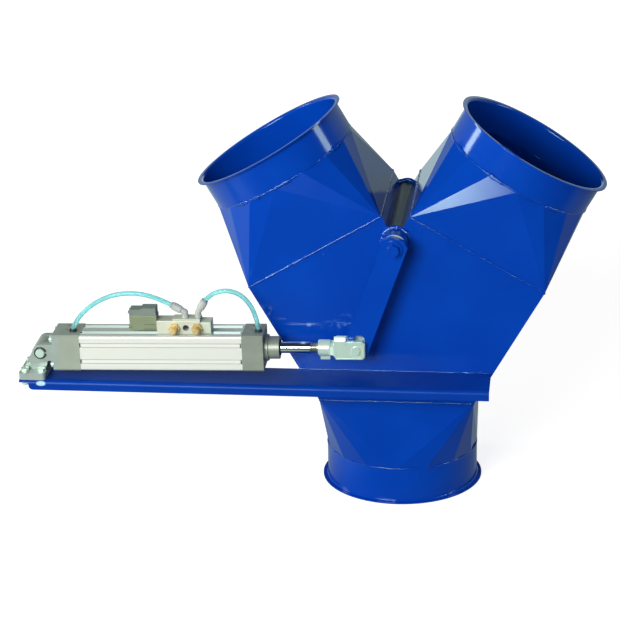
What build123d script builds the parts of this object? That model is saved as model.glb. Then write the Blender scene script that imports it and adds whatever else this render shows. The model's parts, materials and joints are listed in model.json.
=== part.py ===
from build123d import *
from math import asin, atan2, cos, degrees, hypot, radians, sin, sqrt, tan
import os

# A two-way diverter valve for round duct: a welded Y of sheet steel with a flap that hangs
# from a shaft in the crotch, moved by an air cylinder through a lever on the shaft's front end.
# Millimetres. The origin is the centre of the outlet's lip, +Z up, -Y towards the cylinder.

# Duct and welded body. The folded boxes follow the duct's size.
duct_od = 275.0
sheet = 2.0
lip_width = 8.5
lip_bend = 2.5
outlet_collar_length = 65.0
inlet_collar_length = 56.0
outlet_transition_length = 130.0
inlet_transition_length = 133.0
leg_angle = 30.0
leg_neck = 49.5
leg_inset = 5.0
foot_inset = 1.0
box_margin = 1.0
corner_folds = 4

# Shaft and its bearings
shaft_diameter = 25.0
running_gap = 0.05
tube_wall = 6.0
tube_front = 31.0
tube_rear = 16.0
bush_wall = 4.5
bush_flange = 2.0
bush_flange_inset = 2.0
rear_washer_inset = 1.0
rear_washer_thickness = 2.5
circlip_thickness = 1.5
circlip_wall = 3.0
circlip_groove = 1.2
circlip_opening = 8.0
shaft_tail = 2.5
spacer_inset = 4.0
side_play = 0.5

# Flap
flap_angle = 24.6
flap_plate = 3.0
flap_rubber = 4.0
rubber_lip = 6.0
swing_gap = 0.6
side_gap = 0.8
blade_slot_depth = 4.5
flap_bolt = 8.0
flap_bolt_rows = 3
flap_bolt_columns = 4
flap_bolt_inset = 24.0
flap_bolt_drop = 22.0

# Fasteners, as shares of their thread's diameter, and the play round them
hexagon = 1.625
head_height = 0.65
nut_height = 0.8
washer_od = 2.0
socket_head = 1.5
socket_height = 0.6
socket = 0.7
bolt_clearance = 0.2

# Lever
lever_length = 194.0
lever_lag = 4.9
lever_width = 44.0
lever_thickness = 10.0
lever_top = 20.0
lever_tail = 20.0
lever_clip = 10.0
square_drive = 18.0
lever_bolt = 12.0
lever_bolt_grip = 18.0
drill_depth = 20.0
lever_washer_od = 32.0
lever_washer_thickness = 3.0

# The lever's pin hole is drawn out along the lever, see lever()
pin_rise = 15.6
pin_drop = 4.1
pin_sway = 3.8

# Bracket plate under the cylinder
bracket_thickness = 5.0
bracket_reach = 86.0
bracket_inset = 4.6
bracket_flange = 18.0
bracket_flange_setback = 17.0
bracket_bend = 3.0
bracket_corner = 8.0

# Pivot block at the cylinder's rear
cylinder_offset = 45.0
cylinder_lift = 12.06
pivot_height = 48.0
block_length = 47.0
block_depth = 80.0
block_base = 12.0
block_corner = 6.0
block_left_overhang = 39.5
tongue = 31.4
boss_radius = 15.0
web_back_inset = 4.0
web_front_inset = 3.0
web_lean = 40.0
web_droop = 20.0
pivot_pin = 16.0
block_bolt = 8.0
block_bolt_x = 30.0
block_bolt_y = 48.0
block_bolt_end = 10.0
block_washer = 2.0

# Cylinder, drawn along its own axis from the rear pivot
bore = 50.0
barrel_wall = 7.5
barrel_corner = 5.0
cap_overhang = 0.5
cap_length = 37.0
cap_edge = 3.0
body_length = 361.0
groove_offset = 15.0
groove_mouth = 8.0
groove_width = 10.5
groove_lip = 1.8
groove_depth = 5.5
strip_play = 0.2
strip_flange = 1.5
strip_end = 3.0
clevis_reach = 34.0
clevis_flange = 12.0
clevis_gap = 32.0
clevis_width = 60.0
pin_overhang = 5.0
pin_chamfer = 1.0
pin_groove_inset = 0.3
pin_groove = 1.5
pin_groove_depth = 0.8
pin_ring_wall = 3.0
pin_ring_opening = 5.0
rod_diameter = 20.0
rod_thread = 16.0
rod_flat = 17.0
rod_flat_length = 8.0
rod_boss_od = 40.0
rod_boss = 26.0
boss_root_od = 47.0
boss_root = 6.5
wiper_wall = 4.0
wiper_depth = 6.0
wiper_lip = 1.5
piston_length = 34.0
piston_stud = 10.0
seal_width = 8.0
seal_depth = 5.0
stop_gap = 1.5
rod_rest = 42.2
rod_shoulder_in = 37.0
thread_shown = 14.5
thread_engaged = 22.0
cap_bolt = 8.0
cap_bolt_inset = 9.75
cap_bolt_grip = 6.0
cushion_screw = 6.0
cushion_depth = 5.0
cushion_offset = 11.0
cushion_places = (0.0, 22.0)
cushion_slot = 1.0

# Fork on the rod
fork_size = 32.0
fork_gap = 16.0
fork_pin = 16.0
fork_length = 66.5
fork_neck = 26.0
fork_neck_length = 26.0
fork_nose = 16.0
fork_root = 36.5
fork_cone = 5.0
fork_clip_off = 4.0

# Clip on the fork, measured from its pin towards the cylinder
clip_sheet = 1.6
clip_gap = 0.4
clip_margin = 0.4
clip_front = 15.0
clip_corner = 5.0
clip_back = 34.0
clip_taper = 5.0
clip_strip = 16.0
clip_rim = 2.4
clip_rim_step = 0.6
clip_hook = (45.0, 65.0)
clip_hook_slant = 2.5
clip_tail = 8.0
clip_lip = (18.0, 38.0)
clip_tab = 6.0
clip_pin_proud = 2.2
clip_pin_end = 3.0

# Air parts. Ports, elbows and tubes are centred on one line in front of the axis.
air_line = -9.0
tube_diameter = 8.0
port_rear_inset = 22.8
port_front_inset = 9.5
port_play = 0.2
cartridge_od = 14.0
cartridge_depth = 12.0
cartridge_rim = 2.5
cartridge_ring_od = 11.0
cartridge_ring = 2.5
valve_start = 209.0
valve_length = 76.0
valve_front = -22.0
valve_width = 30.0
valve_height = 24.5
valve_edge = 1.5
valve_cover = 19.0
valve_cover_drop = 2.8
valve_cover_inset = 0.5
valve_cover_edge = 2.0
valve_pad = 2.5
valve_pad_start = 28.0
valve_pad_inset = 3.0
supply_port = 51.0
supply_port_od = 11.0
supply_port_depth = 10.0
silencer_pitch = 40.0
silencer_height = 11.5
silencer_thread = 9.4
silencer_thread_length = 8.0
silencer_hexagon = 17.0
silencer_hexagon_length = 6.0
silencer_nose = 12.5
silencer_nose_length = 13.0
silencer_chamfer = 2.0
pilot_length = 48.0
pilot_width = 24.0
pilot_lift = 6.5
pilot_height = 27.5
pilot_slit = (18.0, 2.0, 2.0)
pilot_slit_inset = 3.0
pilot_slit_pitch = 8.0
pilot_screw = 4.4
pilot_screw_inset = (3.5, 6.0)
coil_height = 10.5
coil_cover_length = 26.0
coil_cover_rise = 3.0
coil_cover_drop = 5.5
coil_cover_proud = 0.8
coil_inset = 0.5
coil_edge = 1.2
end_screw = 5.2
end_screw_height = 2.5
end_screw_places = (-7.0, 7.0)
end_screw_inset = (6.0, 5.0)
elbow_od = 14.0
elbow_knuckle = 11.0
elbow_neck = 8.0
elbow_knee = 36.5
elbow_thread = 8.0
elbow_thread_length = 7.0
elbow_groove = 1.2
elbow_groove_back = 4.0
elbow_chamfer = 1.0
collar_height = 3.0
collar_od = 11.6
elbow_left = (258.0, 234.3, 82.7)
elbow_right = (281.0, 294.7, 91.3)

# Tube routes in the cylinder's own frame, as (along, up), between their two fittings
rear_route = [(63.5, 51.0), (75.5, 66.5), (93.0, 81.5), (114.0, 93.5), (137.0, 101.5), (162.5, 104.0),
              (187.5, 101.5), (211.5, 93.8)]
front_route = [(302.0, 98.1), (312.3, 104.3), (324.3, 108.0), (337.0, 108.2), (349.4, 104.8),
               (360.2, 98.0), (369.0, 88.5), (375.6, 77.4), (380.4, 65.0), (383.8, 51.6)]

# How far a cutting shape runs past the face that it opens
over = 1.0

# Values that follow from those above
leg = radians(leg_angle)
leg_width = duct_od - leg_inset
foot_width = duct_od - foot_inset
box_depth = duct_od + box_margin
duct_radius = duct_od / 2
half_depth = box_depth / 2
box_bottom = outlet_collar_length + outlet_transition_length
crotch_z = box_bottom + (leg_width - foot_width / 2 * cos(leg)) / sin(leg)
shaft_radius = shaft_diameter / 2
tube_radius = shaft_radius + bush_wall + tube_wall
bush_flange_radius = tube_radius - bush_flange_inset
circlip_radius = shaft_radius + circlip_wall
bush_front_y = -half_depth - tube_front - bush_flange
bush_rear_y = half_depth + tube_rear + bush_flange
cylinder_y = -half_depth - cylinder_offset
lever_back_y = cylinder_y + lever_thickness / 2
lever_front_y = cylinder_y - lever_thickness / 2
rubber_half = flap_rubber / 2
stack_half = rubber_half + flap_plate
wall_slant = radians(90 - leg_angle - flap_angle)
wall_distance = leg_width - sheet - swing_gap
flap_reach = (wall_distance - rubber_half * sin(wall_slant)) / cos(wall_slant)
lever_angle = flap_angle - lever_lag
fork_x = -lever_length * sin(radians(lever_angle))
fork_z = crotch_z - lever_length * cos(radians(lever_angle))

# The rear pin stands where the cylinder's length puts it, and the bracket under it
barrel_size = bore + 2 * barrel_wall
cap_half = barrel_size / 2 + cap_overhang
cap_bolt_reach = cap_half - cap_bolt_inset
barrel_start = clevis_reach + cap_length
front_cap_start = clevis_reach + body_length - cap_length
barrel_length = front_cap_start - barrel_start
cap_face = clevis_reach + body_length
rod_shoulder = cap_face + rod_shoulder_in + rod_rest
fork_reach = rod_shoulder + thread_shown + fork_length
pivot_x = fork_x - sqrt(fork_reach ** 2 - cylinder_lift ** 2)
pivot_z = fork_z - cylinder_lift
cylinder_tilt = degrees(asin(cylinder_lift / fork_reach))
bracket_top = pivot_z - pivot_height
bracket_left = pivot_x - block_left_overhang
bracket_right = foot_width / 2 + (bracket_top - box_bottom) * tan(leg) - bracket_inset
valve_base = barrel_size / 2
valve_end = valve_start + valve_length
port_top = cap_half + cartridge_rim + cartridge_ring
port_rear = clevis_reach + port_rear_inset
port_front = cap_face - port_front_inset
rear_tube_route = [(port_rear, port_top), *rear_route, elbow_left[1:]]
front_tube_route = [elbow_right[1:], *front_route, (port_front, port_top)]

hinge_frame = Pos(0, 0, crotch_z) * Rot(0, flap_angle, 0)
lever_frame = Pos(0, 0, crotch_z) * Rot(0, lever_angle, 0)
cylinder_frame = Pos(pivot_x, cylinder_y, pivot_z) * Rot(0, -cylinder_tilt, 0)
FRONT = Plane.XZ


def rod_y(radius, y_low, y_high, x=0.0, z=0.0):
    """A round bar along Y between two y values."""
    middle = Pos(x, (y_low + y_high) / 2, z)
    return middle * Rot(90, 0, 0) * Cylinder(radius, y_high - y_low)


def rod_x(radius, x_low, x_high, y=0.0, z=0.0):
    """A round bar along X between two x values."""
    return Pos((x_low + x_high) / 2, y, z) * Rot(0, 90, 0) * Cylinder(radius, x_high - x_low)


def rod_z(radius, z_low, z_high, x=0.0, y=0.0):
    """A round bar along Z between two z values."""
    return Pos(x, y, (z_low + z_high) / 2) * Cylinder(radius, z_high - z_low)


def block(x_range, y_range, z_range):
    """A box between two corners."""
    spans = [high - low for low, high in (x_range, y_range, z_range)]
    middle = [(low + high) / 2 for low, high in (x_range, y_range, z_range)]
    return Pos(*middle) * Box(*spans)


def profile_y(points, y_low, y_high):
    """A flat outline given as (x, z), extruded along Y between two y values."""
    outline = make_face(Polyline(*points, close=True))
    return Pos(0, y_high, 0) * extrude(FRONT * outline, amount=y_high - y_low)


def hexagon_y(across_flats, y_low, y_high, x=0.0, z=0.0):
    """A hexagonal bar along Y."""
    flats = RegularPolygon(across_flats / 2, 6, major_radius=False)
    return Pos(x, y_high, z) * extrude(FRONT * flats, amount=y_high - y_low)


def hexagon_z(across_flats, z_low, z_high, x=0.0, y=0.0):
    """A hexagonal bar along Z."""
    flats = RegularPolygon(across_flats / 2, 6, major_radius=False)
    return Pos(x, y, z_low) * extrude(flats, amount=z_high - z_low)


def along_leg(side, out, up):
    """The (x, z) of a point on a leg, measured from the crotch across and along the leg."""
    return side * (up * sin(leg) + out * cos(leg)), crotch_z + up * cos(leg) - out * sin(leg)


def leg_frame(side):
    """The frame at the middle of a leg's square seam, with Z along the leg."""
    x, z = along_leg(side, leg_width / 2, leg_neck)
    return Pos(x, 0, z) * Rot(0, side * leg_angle, 0)


def collar(length):
    """A round collar with its lip rolled outwards, from Z = 0 up to the lip's face."""
    inside = duct_radius - sheet
    bend = (duct_radius + lip_bend, length - sheet - lip_bend)
    lip_edge = duct_radius + lip_width
    diagonal = sin(radians(45))
    outline = Polyline((bend[0], length), (lip_edge, length), (lip_edge, length - sheet),
                       (bend[0], length - sheet))
    outline += ThreePointArc((bend[0], length - sheet),
                             (bend[0] - lip_bend * diagonal, bend[1] + lip_bend * diagonal),
                             (duct_radius, bend[1]))
    outline += Polyline((duct_radius, bend[1]), (duct_radius, 0), (inside, 0), (inside, bend[1]))
    outer_bend = lip_bend + sheet
    outline += ThreePointArc((inside, bend[1]),
                             (bend[0] - outer_bend * diagonal, bend[1] + outer_bend * diagonal),
                             (bend[0], length))
    return revolve(FRONT * make_face(outline), Axis.Z)


def folded_hull(half_x, half_y, radius, length):
    """The closed form between a rectangle at Z = 0 and a circle at Z = length, folded flat.

    Each side is one triangle. Each corner is a fan of narrow triangles, and the points of the
    fan stand half a facet's height outside the circle, so that its flats straddle the collar.
    """
    step = 90 / corner_folds
    swell = radius * (1 - cos(radians(step / 2))) / 2
    faces = []
    ring = []
    square = [(half_x, half_y, 0), (-half_x, half_y, 0), (-half_x, -half_y, 0), (half_x, -half_y, 0)]
    for quarter, corner in enumerate(square):
        fan = []
        for fold in range(corner_folds + 1):
            turn = radians(90 * quarter + step * fold)
            reach = radius if fold in (0, corner_folds) else radius + swell
            fan.append((reach * cos(turn), reach * sin(turn), length))
        ring.extend(fan[:-1])
        for first, second in zip(fan, fan[1:]):
            faces.append(Face(Wire.make_polygon([corner, first, second])))
        faces.append(Face(Wire.make_polygon([square[quarter - 1], fan[0], corner])))
    faces.append(Face(Wire.make_polygon(square)))
    faces.append(Face(Wire.make_polygon(ring)))
    return Solid(Shell(faces))


def transition(width, length):
    """A square-to-round piece of folded sheet, square end at Z = 0."""
    outer = folded_hull(width / 2, half_depth, duct_radius, length)
    inner = folded_hull(width / 2 - sheet, half_depth - sheet, duct_radius - sheet, length)
    return outer - inner


def y_plate(side):
    """The flat Y-shaped plate in front (side -1) or behind (side 1), pierced for the shaft tube."""
    points = [(foot_width / 2, box_bottom), along_leg(1, leg_width, leg_neck), along_leg(1, 0, leg_neck),
              (0, crotch_z)]
    mirrored = [(-x, z) for x, z in reversed(points[:-1])]
    inner, outer = half_depth - sheet, half_depth
    y_range = (inner, outer) if side > 0 else (-outer, -inner)
    return profile_y(points + mirrored, *y_range) - shaft_bore(tube_radius)


def shaft_bore(radius):
    """A bar on the shaft's axis that is longer than the body is deep."""
    return rod_y(radius, -box_depth, box_depth, z=crotch_z)


def side_plate(side):
    """The outer wall of a leg, from the box's foot to the leg's seam."""
    foot = (side * foot_width / 2, box_bottom)
    inner_foot = (side * (foot_width / 2 - sheet / cos(leg)), box_bottom)
    points = [foot, along_leg(side, leg_width, leg_neck), along_leg(side, leg_width - sheet, leg_neck),
              inner_foot]
    return profile_y(points, sheet - half_depth, half_depth - sheet)


def crotch_plate(side):
    """The inner wall of a leg, from the shaft tube to the leg's seam."""
    points = [along_leg(side, 0, 0), along_leg(side, 0, leg_neck), along_leg(side, sheet, leg_neck),
              along_leg(side, sheet, 0)]
    return profile_y(points, sheet - half_depth, half_depth - sheet) - shaft_bore(tube_radius)


def shaft_tube():
    """The tube in the crotch: whole at its ends, and only its upper half inside the body."""
    tube = rod_y(tube_radius, -half_depth - tube_front, half_depth + tube_rear, z=crotch_z)
    tube -= shaft_bore(tube_radius - tube_wall)
    window = half_depth - sheet
    return tube - block((-tube_radius, tube_radius), (-window, window), (crotch_z - tube_radius, crotch_z))


def bush(side):
    """A flanged bush in one end of the shaft tube."""
    inner_y = side * (half_depth - sheet)
    tube_end = side * (half_depth + (tube_front if side < 0 else tube_rear))
    flange_end = tube_end + side * bush_flange
    sleeve = rod_y(tube_radius - tube_wall, *sorted((inner_y, tube_end)), z=crotch_z)
    flange = rod_y(bush_flange_radius, *sorted((tube_end, flange_end)), z=crotch_z)
    return sleeve + flange - shaft_bore(shaft_radius + running_gap)


def flap_shaft():
    """The shaft: slotted for the blade inside the body, with a square in front for the lever."""
    square_end = lever_front_y + side_play
    clip_y = bush_rear_y + rear_washer_thickness + side_play
    shaft_end = clip_y + circlip_thickness + shaft_tail
    shaft = rod_y(shaft_radius, lever_back_y, shaft_end)
    half_square = square_drive / 2
    square = block((-half_square, half_square), (square_end, lever_back_y), (-half_square, half_square))
    shaft += Rot(0, -lever_lag, 0) * square
    slot_end = half_depth - sheet - side_gap
    slot_floor = blade_slot_depth - shaft_radius
    shaft -= block((-stack_half, stack_half), (-slot_end, slot_end), (-shaft_diameter, slot_floor))
    shaft -= rod_y(lever_bolt / 2 + bolt_clearance, square_end - over, lever_back_y + drill_depth)
    groove = rod_y(shaft_diameter, clip_y, clip_y + circlip_thickness)
    shaft -= groove - rod_y(shaft_radius - circlip_groove, clip_y, clip_y + circlip_thickness)
    return hinge_frame * shaft


def flap_sheet(x_low, x_high, half_width, reach):
    """One layer of the flap with its bolt holes, hanging from the slot in the shaft."""
    layer = block((x_low, x_high), (-half_width, half_width), (-reach, blade_slot_depth - shaft_radius))
    for y, z in flap_bolt_places():
        layer -= rod_x(flap_bolt / 2 + bolt_clearance, x_low - over, x_high + over, y, z)
    return hinge_frame * layer


def flap_bolt_places():
    """Where the bolts go through the flap, as (y, z) under the shaft."""
    edge = half_depth - sheet - side_gap - rubber_lip - flap_bolt_inset
    top, bottom = -shaft_diameter - flap_bolt_drop, flap_bolt_inset - plate_reach()
    rows = [top + (bottom - top) * row / (flap_bolt_rows - 1) for row in range(flap_bolt_rows)]
    columns = [edge * (2 * column / (flap_bolt_columns - 1) - 1) for column in range(flap_bolt_columns)]
    return [(y, z) for z in rows for y in columns]


def plate_reach():
    """How far the flap's steel plates reach, short of the rubber's edge."""
    return flap_reach - rubber_lip


def flap_plate_side(side):
    """One of the two steel plates that hold the rubber."""
    x_range = sorted((side * rubber_half, side * stack_half))
    return flap_sheet(*x_range, half_depth - sheet - side_gap - rubber_lip, plate_reach())


def flap_rubber_sheet():
    """The rubber between the plates, which stands out of them on three sides."""
    return flap_sheet(-rubber_half, rubber_half, half_depth - sheet - side_gap, flap_reach)


def flap_bolts():
    """Hexagon bolts through the flap, heads on the right."""
    head = head_height * flap_bolt
    bolts = []
    for y, z in flap_bolt_places():
        shank = rod_x(flap_bolt / 2, -stack_half - flap_bolt, stack_half, y, z)
        cap = Pos(stack_half, y, z) * Rot(0, 90, 0) * hexagon_z(hexagon * flap_bolt, 0, head)
        bolts.append(hinge_frame * (shank + cap))
    return Compound(bolts)


def flap_nuts():
    """Hexagon nuts on the left of the flap."""
    height = nut_height * flap_bolt
    nuts = []
    for y, z in flap_bolt_places():
        nut = Pos(-stack_half - height, y, z) * Rot(0, 90, 0) * hexagon_z(hexagon * flap_bolt, 0, height)
        nut -= rod_x(flap_bolt / 2 + bolt_clearance, -stack_half - 2 * height, 0, y, z)
        nuts.append(hinge_frame * nut)
    return Compound(nuts)


def rear_washer():
    """A washer behind the rear bush."""
    start = bush_rear_y + side_play / 2
    washer = rod_y(tube_radius - rear_washer_inset, start, start + rear_washer_thickness, z=crotch_z)
    return washer - shaft_bore(shaft_radius + bolt_clearance)


def circlip():
    """The ring in the groove behind the rear washer, open at the bottom."""
    start = bush_rear_y + rear_washer_thickness + side_play
    ring = rod_y(circlip_radius, start, start + circlip_thickness, z=crotch_z)
    ring -= shaft_bore(shaft_radius - circlip_groove)
    half = circlip_opening / 2
    y_range = (start - over, start + circlip_thickness + over)
    return ring - block((-half, half), y_range, (crotch_z - 2 * circlip_radius, crotch_z))


def lever_spacer():
    """The ring between the front bush and the lever."""
    ring = rod_y(tube_radius - spacer_inset, lever_back_y, bush_front_y - side_play, z=crotch_z)
    return ring - shaft_bore(shaft_radius + bolt_clearance)


def lever():
    """A flat bar on the shaft's square, clipped at its top.

    The fork's pin hole is drawn out along the bar. A rod that runs out evenly as the lever
    turns leaves a little play at this pivot, and the hole is as long as that play.
    """
    half = lever_width / 2
    foot = -lever_length - lever_tail
    outline = [(-half, foot + lever_clip), (-half, lever_top - lever_clip), (-half + lever_clip, lever_top),
               (half - lever_clip, lever_top), (half, lever_top - lever_clip), (half, foot + lever_clip),
               (half - lever_clip, foot), (-half + lever_clip, foot)]
    bar = profile_y(outline, lever_front_y, lever_back_y)
    half_square = square_drive / 2 + bolt_clearance
    y_range = (lever_front_y - over, lever_back_y + over)
    bar -= block((-half_square, half_square), y_range, (-half_square, half_square))
    hole_radius = (fork_pin + pin_sway) / 2
    low, high = -lever_length - pin_drop, -lever_length + pin_rise
    bar -= block((-hole_radius, hole_radius), y_range, (low, high))
    for end in (low, high):
        bar -= rod_y(hole_radius, *y_range, z=end)
    return lever_frame * bar


def lever_washer():
    """The thick washer between the lever and its bolt."""
    washer = rod_y(lever_washer_od / 2, lever_front_y - lever_washer_thickness, lever_front_y, z=crotch_z)
    return washer - shaft_bore(lever_bolt / 2 + bolt_clearance)


def lever_hex_bolt():
    """The bolt that holds the lever on the shaft's square end."""
    seat = lever_front_y - lever_washer_thickness
    head = hexagon_y(hexagon * lever_bolt, seat - head_height * lever_bolt, seat)
    return lever_frame * (head + rod_y(lever_bolt / 2, seat, lever_back_y + lever_bolt_grip))


def cylinder_bracket():
    """The long plate under the cylinder, bent down along its front edge."""
    front = -half_depth - bracket_reach
    bottom = bracket_top - bracket_thickness
    skirt = bracket_top - bracket_flange
    bend_out = bracket_bend + bracket_thickness
    diagonal = sin(radians(45))
    corner = (front + bend_out, bracket_top - bend_out)
    section = Polyline((front + bend_out, bracket_top), (-half_depth, bracket_top), (-half_depth, bottom),
                       (front + bend_out, bottom))
    section += ThreePointArc((front + bend_out, bottom),
                             (corner[0] - bracket_bend * diagonal, corner[1] + bracket_bend * diagonal),
                             (front + bracket_thickness, corner[1]))
    section += Polyline((front + bracket_thickness, corner[1]), (front + bracket_thickness, skirt),
                        (front, skirt), (front, corner[1]))
    section += ThreePointArc((front, corner[1]),
                             (corner[0] - bend_out * diagonal, corner[1] + bend_out * diagonal),
                             (front + bend_out, bracket_top))
    length = bracket_right - bracket_left
    plate = Pos(bracket_left, 0, 0) * extrude(Plane.YZ * make_face(section), amount=length)
    relief_end = bracket_left + bracket_flange_setback
    flange_y = (front - over, front + bend_out)
    plate -= block((bracket_left - over, relief_end), flange_y, (skirt - over, bottom))
    rounding = block((relief_end - over, relief_end + bracket_corner), flange_y,
                     (skirt - over, skirt + bracket_corner))
    rounding -= rod_y(bracket_corner, front - bend_out, front + 2 * bend_out, relief_end + bracket_corner,
                      skirt + bracket_corner)
    plate -= rounding
    for x, y in block_bolt_places():
        plate -= rod_z(block_bolt / 2 + bolt_clearance, bottom - over, bracket_top + over, x, y)
    return plate


def block_bolt_places():
    """Where the pivot block is bolted down, as (x, y)."""
    middle = pivot_x - block_left_overhang + block_length / 2
    xs = (middle - block_bolt_x / 2, middle + block_bolt_x / 2)
    ys = (cylinder_y - block_bolt_y / 2, cylinder_y + block_bolt_y / 2)
    return [(x, y) for x in xs for y in ys]


def pivot_block():
    """The cast block with a leaning web that carries the cylinder's rear pin."""
    left = pivot_x - block_left_overhang
    base_top = bracket_top + block_base
    y_range = (cylinder_y - block_depth / 2, cylinder_y + block_depth / 2)
    base = block((left, left + block_length), y_range, (bracket_top, base_top))
    base = fillet(base.edges().filter_by(Axis.Z), block_corner)
    lean, droop = radians(web_lean), radians(web_droop)
    web = [(left + web_back_inset, base_top - over), (left + block_length - web_front_inset, base_top - over),
           (pivot_x + boss_radius * cos(droop), pivot_z - boss_radius * sin(droop)),
           (pivot_x, pivot_z), (pivot_x - boss_radius * cos(lean), pivot_z + boss_radius * sin(lean))]
    tongue_range = (cylinder_y - tongue / 2, cylinder_y + tongue / 2)
    body = base + profile_y(web, *tongue_range)
    body += rod_y(boss_radius, *tongue_range, pivot_x, pivot_z)
    body -= rod_y(pivot_pin / 2 + running_gap, cylinder_y - tongue, cylinder_y + tongue, pivot_x, pivot_z)
    for x, y in block_bolt_places():
        body -= rod_z(block_bolt / 2 + bolt_clearance, bracket_top - over, base_top + over, x, y)
    return body


def block_bolts():
    """Hexagon bolts through the pivot block and the bracket."""
    top = bracket_top + block_base
    end = bracket_top - bracket_thickness - block_bolt_end
    bolts = []
    for x, y in block_bolt_places():
        head = hexagon_z(hexagon * block_bolt, top, top + head_height * block_bolt, x, y)
        bolts.append(head + rod_z(block_bolt / 2, end, top, x, y))
    return Compound(bolts)


def block_washers():
    """Washers under the bracket."""
    top = bracket_top - bracket_thickness
    washers = []
    for x, y in block_bolt_places():
        washer = rod_z(washer_od * block_bolt / 2, top - block_washer, top, x, y)
        hole = rod_z(block_bolt / 2 + bolt_clearance, top - block_washer - over, top + over, x, y)
        washers.append(washer - hole)
    return Compound(washers)


def block_nuts():
    """Hexagon nuts under the washers."""
    top = bracket_top - bracket_thickness - block_washer
    bottom = top - nut_height * block_bolt
    nuts = []
    for x, y in block_bolt_places():
        nut = hexagon_z(hexagon * block_bolt, bottom, top, x, y)
        nuts.append(nut - rod_z(block_bolt / 2 + bolt_clearance, bottom - over, top + over, x, y))
    return Compound(nuts)


def on_cylinder(part):
    """Moves a piece from the cylinder's own frame to its place."""
    return cylinder_frame * part


def cap_bolt_corners():
    """The four corner bolts of a cap, as (y, z)."""
    places = (-cap_bolt_reach, cap_bolt_reach)
    return [(y, z) for y in places for z in places]


def cap(start, is_front):
    """An end cap: a cast block with bevelled edges, corner bolt recesses and an air port on top."""
    end = start + cap_length
    shape = block((start, end), (-cap_half, cap_half), (-cap_half, cap_half))
    shape = chamfer(shape.edges().filter_by(Axis.X), cap_edge)
    outer_x = end if is_front else start
    inward = -1 if is_front else 1
    recess = sorted((outer_x - inward * over, outer_x + inward * cap_bolt))
    for y, z in cap_bolt_corners():
        shape -= rod_x(socket_head * cap_bolt / 2 + bolt_clearance, *recess, y, z)
        shape -= rod_x(cap_bolt / 2 + bolt_clearance, start - over, end + over, y, z)
    port = port_front if is_front else port_rear
    port_floor = cap_half - cartridge_depth
    shape -= rod_z(cartridge_od / 2 + port_play, port_floor, cap_half + over, port, air_line)
    for y in cushion_places:
        shape -= rod_z(cushion_screw / 2 + port_play, cap_half - cushion_depth, cap_half + over,
                       port - cushion_offset, y)
    if is_front:
        boss_end = end + rod_boss
        shape += rod_x(rod_boss_od / 2, end, boss_end) + rod_x(boss_root_od / 2, end, end + boss_root)
        shape -= rod_x(rod_diameter / 2 + running_gap, start - over, boss_end + over)
        shape -= rod_x(rod_diameter / 2 + wiper_wall, boss_end - wiper_depth, boss_end + over)
    return on_cylinder(shape)


def barrel():
    """The extruded barrel: a rounded square with the bore and two slotted grooves in each side."""
    section = RectangleRounded(barrel_size, barrel_size, barrel_corner) - Circle(bore / 2)
    half = barrel_size / 2
    for turn in range(4):
        for offset in (-groove_offset, groove_offset):
            mouth = Pos(half - groove_depth / 2, offset) * Rectangle(groove_depth, groove_mouth)
            throat_depth = groove_depth - groove_lip
            throat = Pos(half - groove_lip - throat_depth / 2, offset) * Rectangle(throat_depth, groove_width)
            section -= Rot(0, 0, 90 * turn) * (mouth + throat)
    for y, z in cap_bolt_corners():
        section -= Pos(y, z) * Circle(cap_bolt / 2 + bolt_clearance)
    return on_cylinder(Pos(barrel_start, 0, 0) * extrude(Plane.YZ * section, amount=barrel_length))


def groove_strips():
    """The strips that close the grooves, a little short of both caps."""
    half = barrel_size / 2
    cap_width = groove_mouth - strip_play
    flange_width = groove_width - strip_play
    under_lip = half - groove_lip
    crown = Pos(half - groove_lip / 2, 0) * Rectangle(groove_lip, cap_width)
    flange = Pos(under_lip - strip_flange / 2, 0) * Rectangle(strip_flange, flange_width)
    start = barrel_start + strip_end
    length = barrel_length - 2 * strip_end
    strips = []
    for turn in range(4):
        for offset in (-groove_offset, groove_offset):
            section = Rot(0, 0, 90 * turn) * (Pos(0, offset) * (crown + flange))
            strips.append(on_cylinder(Pos(start, 0, 0) * extrude(Plane.YZ * section, amount=length)))
    return Compound(strips)


def cap_bolts():
    """Socket screws that clamp the caps to the barrel, four at each end."""
    screws = []
    for outer_x, inward in ((clevis_reach, 1), (cap_face, -1)):
        for y, z in cap_bolt_corners():
            seat = outer_x + inward * cap_bolt
            tip = seat + inward * (cap_length + cap_bolt_grip)
            screw = rod_x(socket_head * cap_bolt / 2, *sorted((seat, outer_x)), y, z)
            screw += rod_x(cap_bolt / 2, *sorted((seat, tip)), y, z)
            key = sorted((outer_x - inward * over, outer_x + inward * socket_height * cap_bolt))
            screws.append(on_cylinder(screw - rod_x(socket * cap_bolt / 2, *key, y, z)))
    return Compound(screws)


def rear_clevis():
    """The cast clevis on the rear cap: a flange with two ears."""
    flange_start = clevis_reach - clevis_flange
    shape = block((flange_start, clevis_reach), (-cap_half, cap_half), (-cap_half, cap_half))
    shape = chamfer(shape.edges().filter_by(Axis.X), cap_edge)
    for side in (-1, 1):
        y_range = sorted((side * clevis_gap / 2, side * clevis_width / 2))
        ear = rod_y(boss_radius, *y_range)
        ear += block((0, flange_start + over), y_range, (-boss_radius, boss_radius))
        shape += ear
    shape -= rod_y(pivot_pin / 2, -clevis_width, clevis_width)
    for y, z in cap_bolt_corners():
        shape -= rod_x(cap_bolt / 2 + bolt_clearance, flange_start - over, clevis_reach + over, y, z)
    return on_cylinder(shape)


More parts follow.
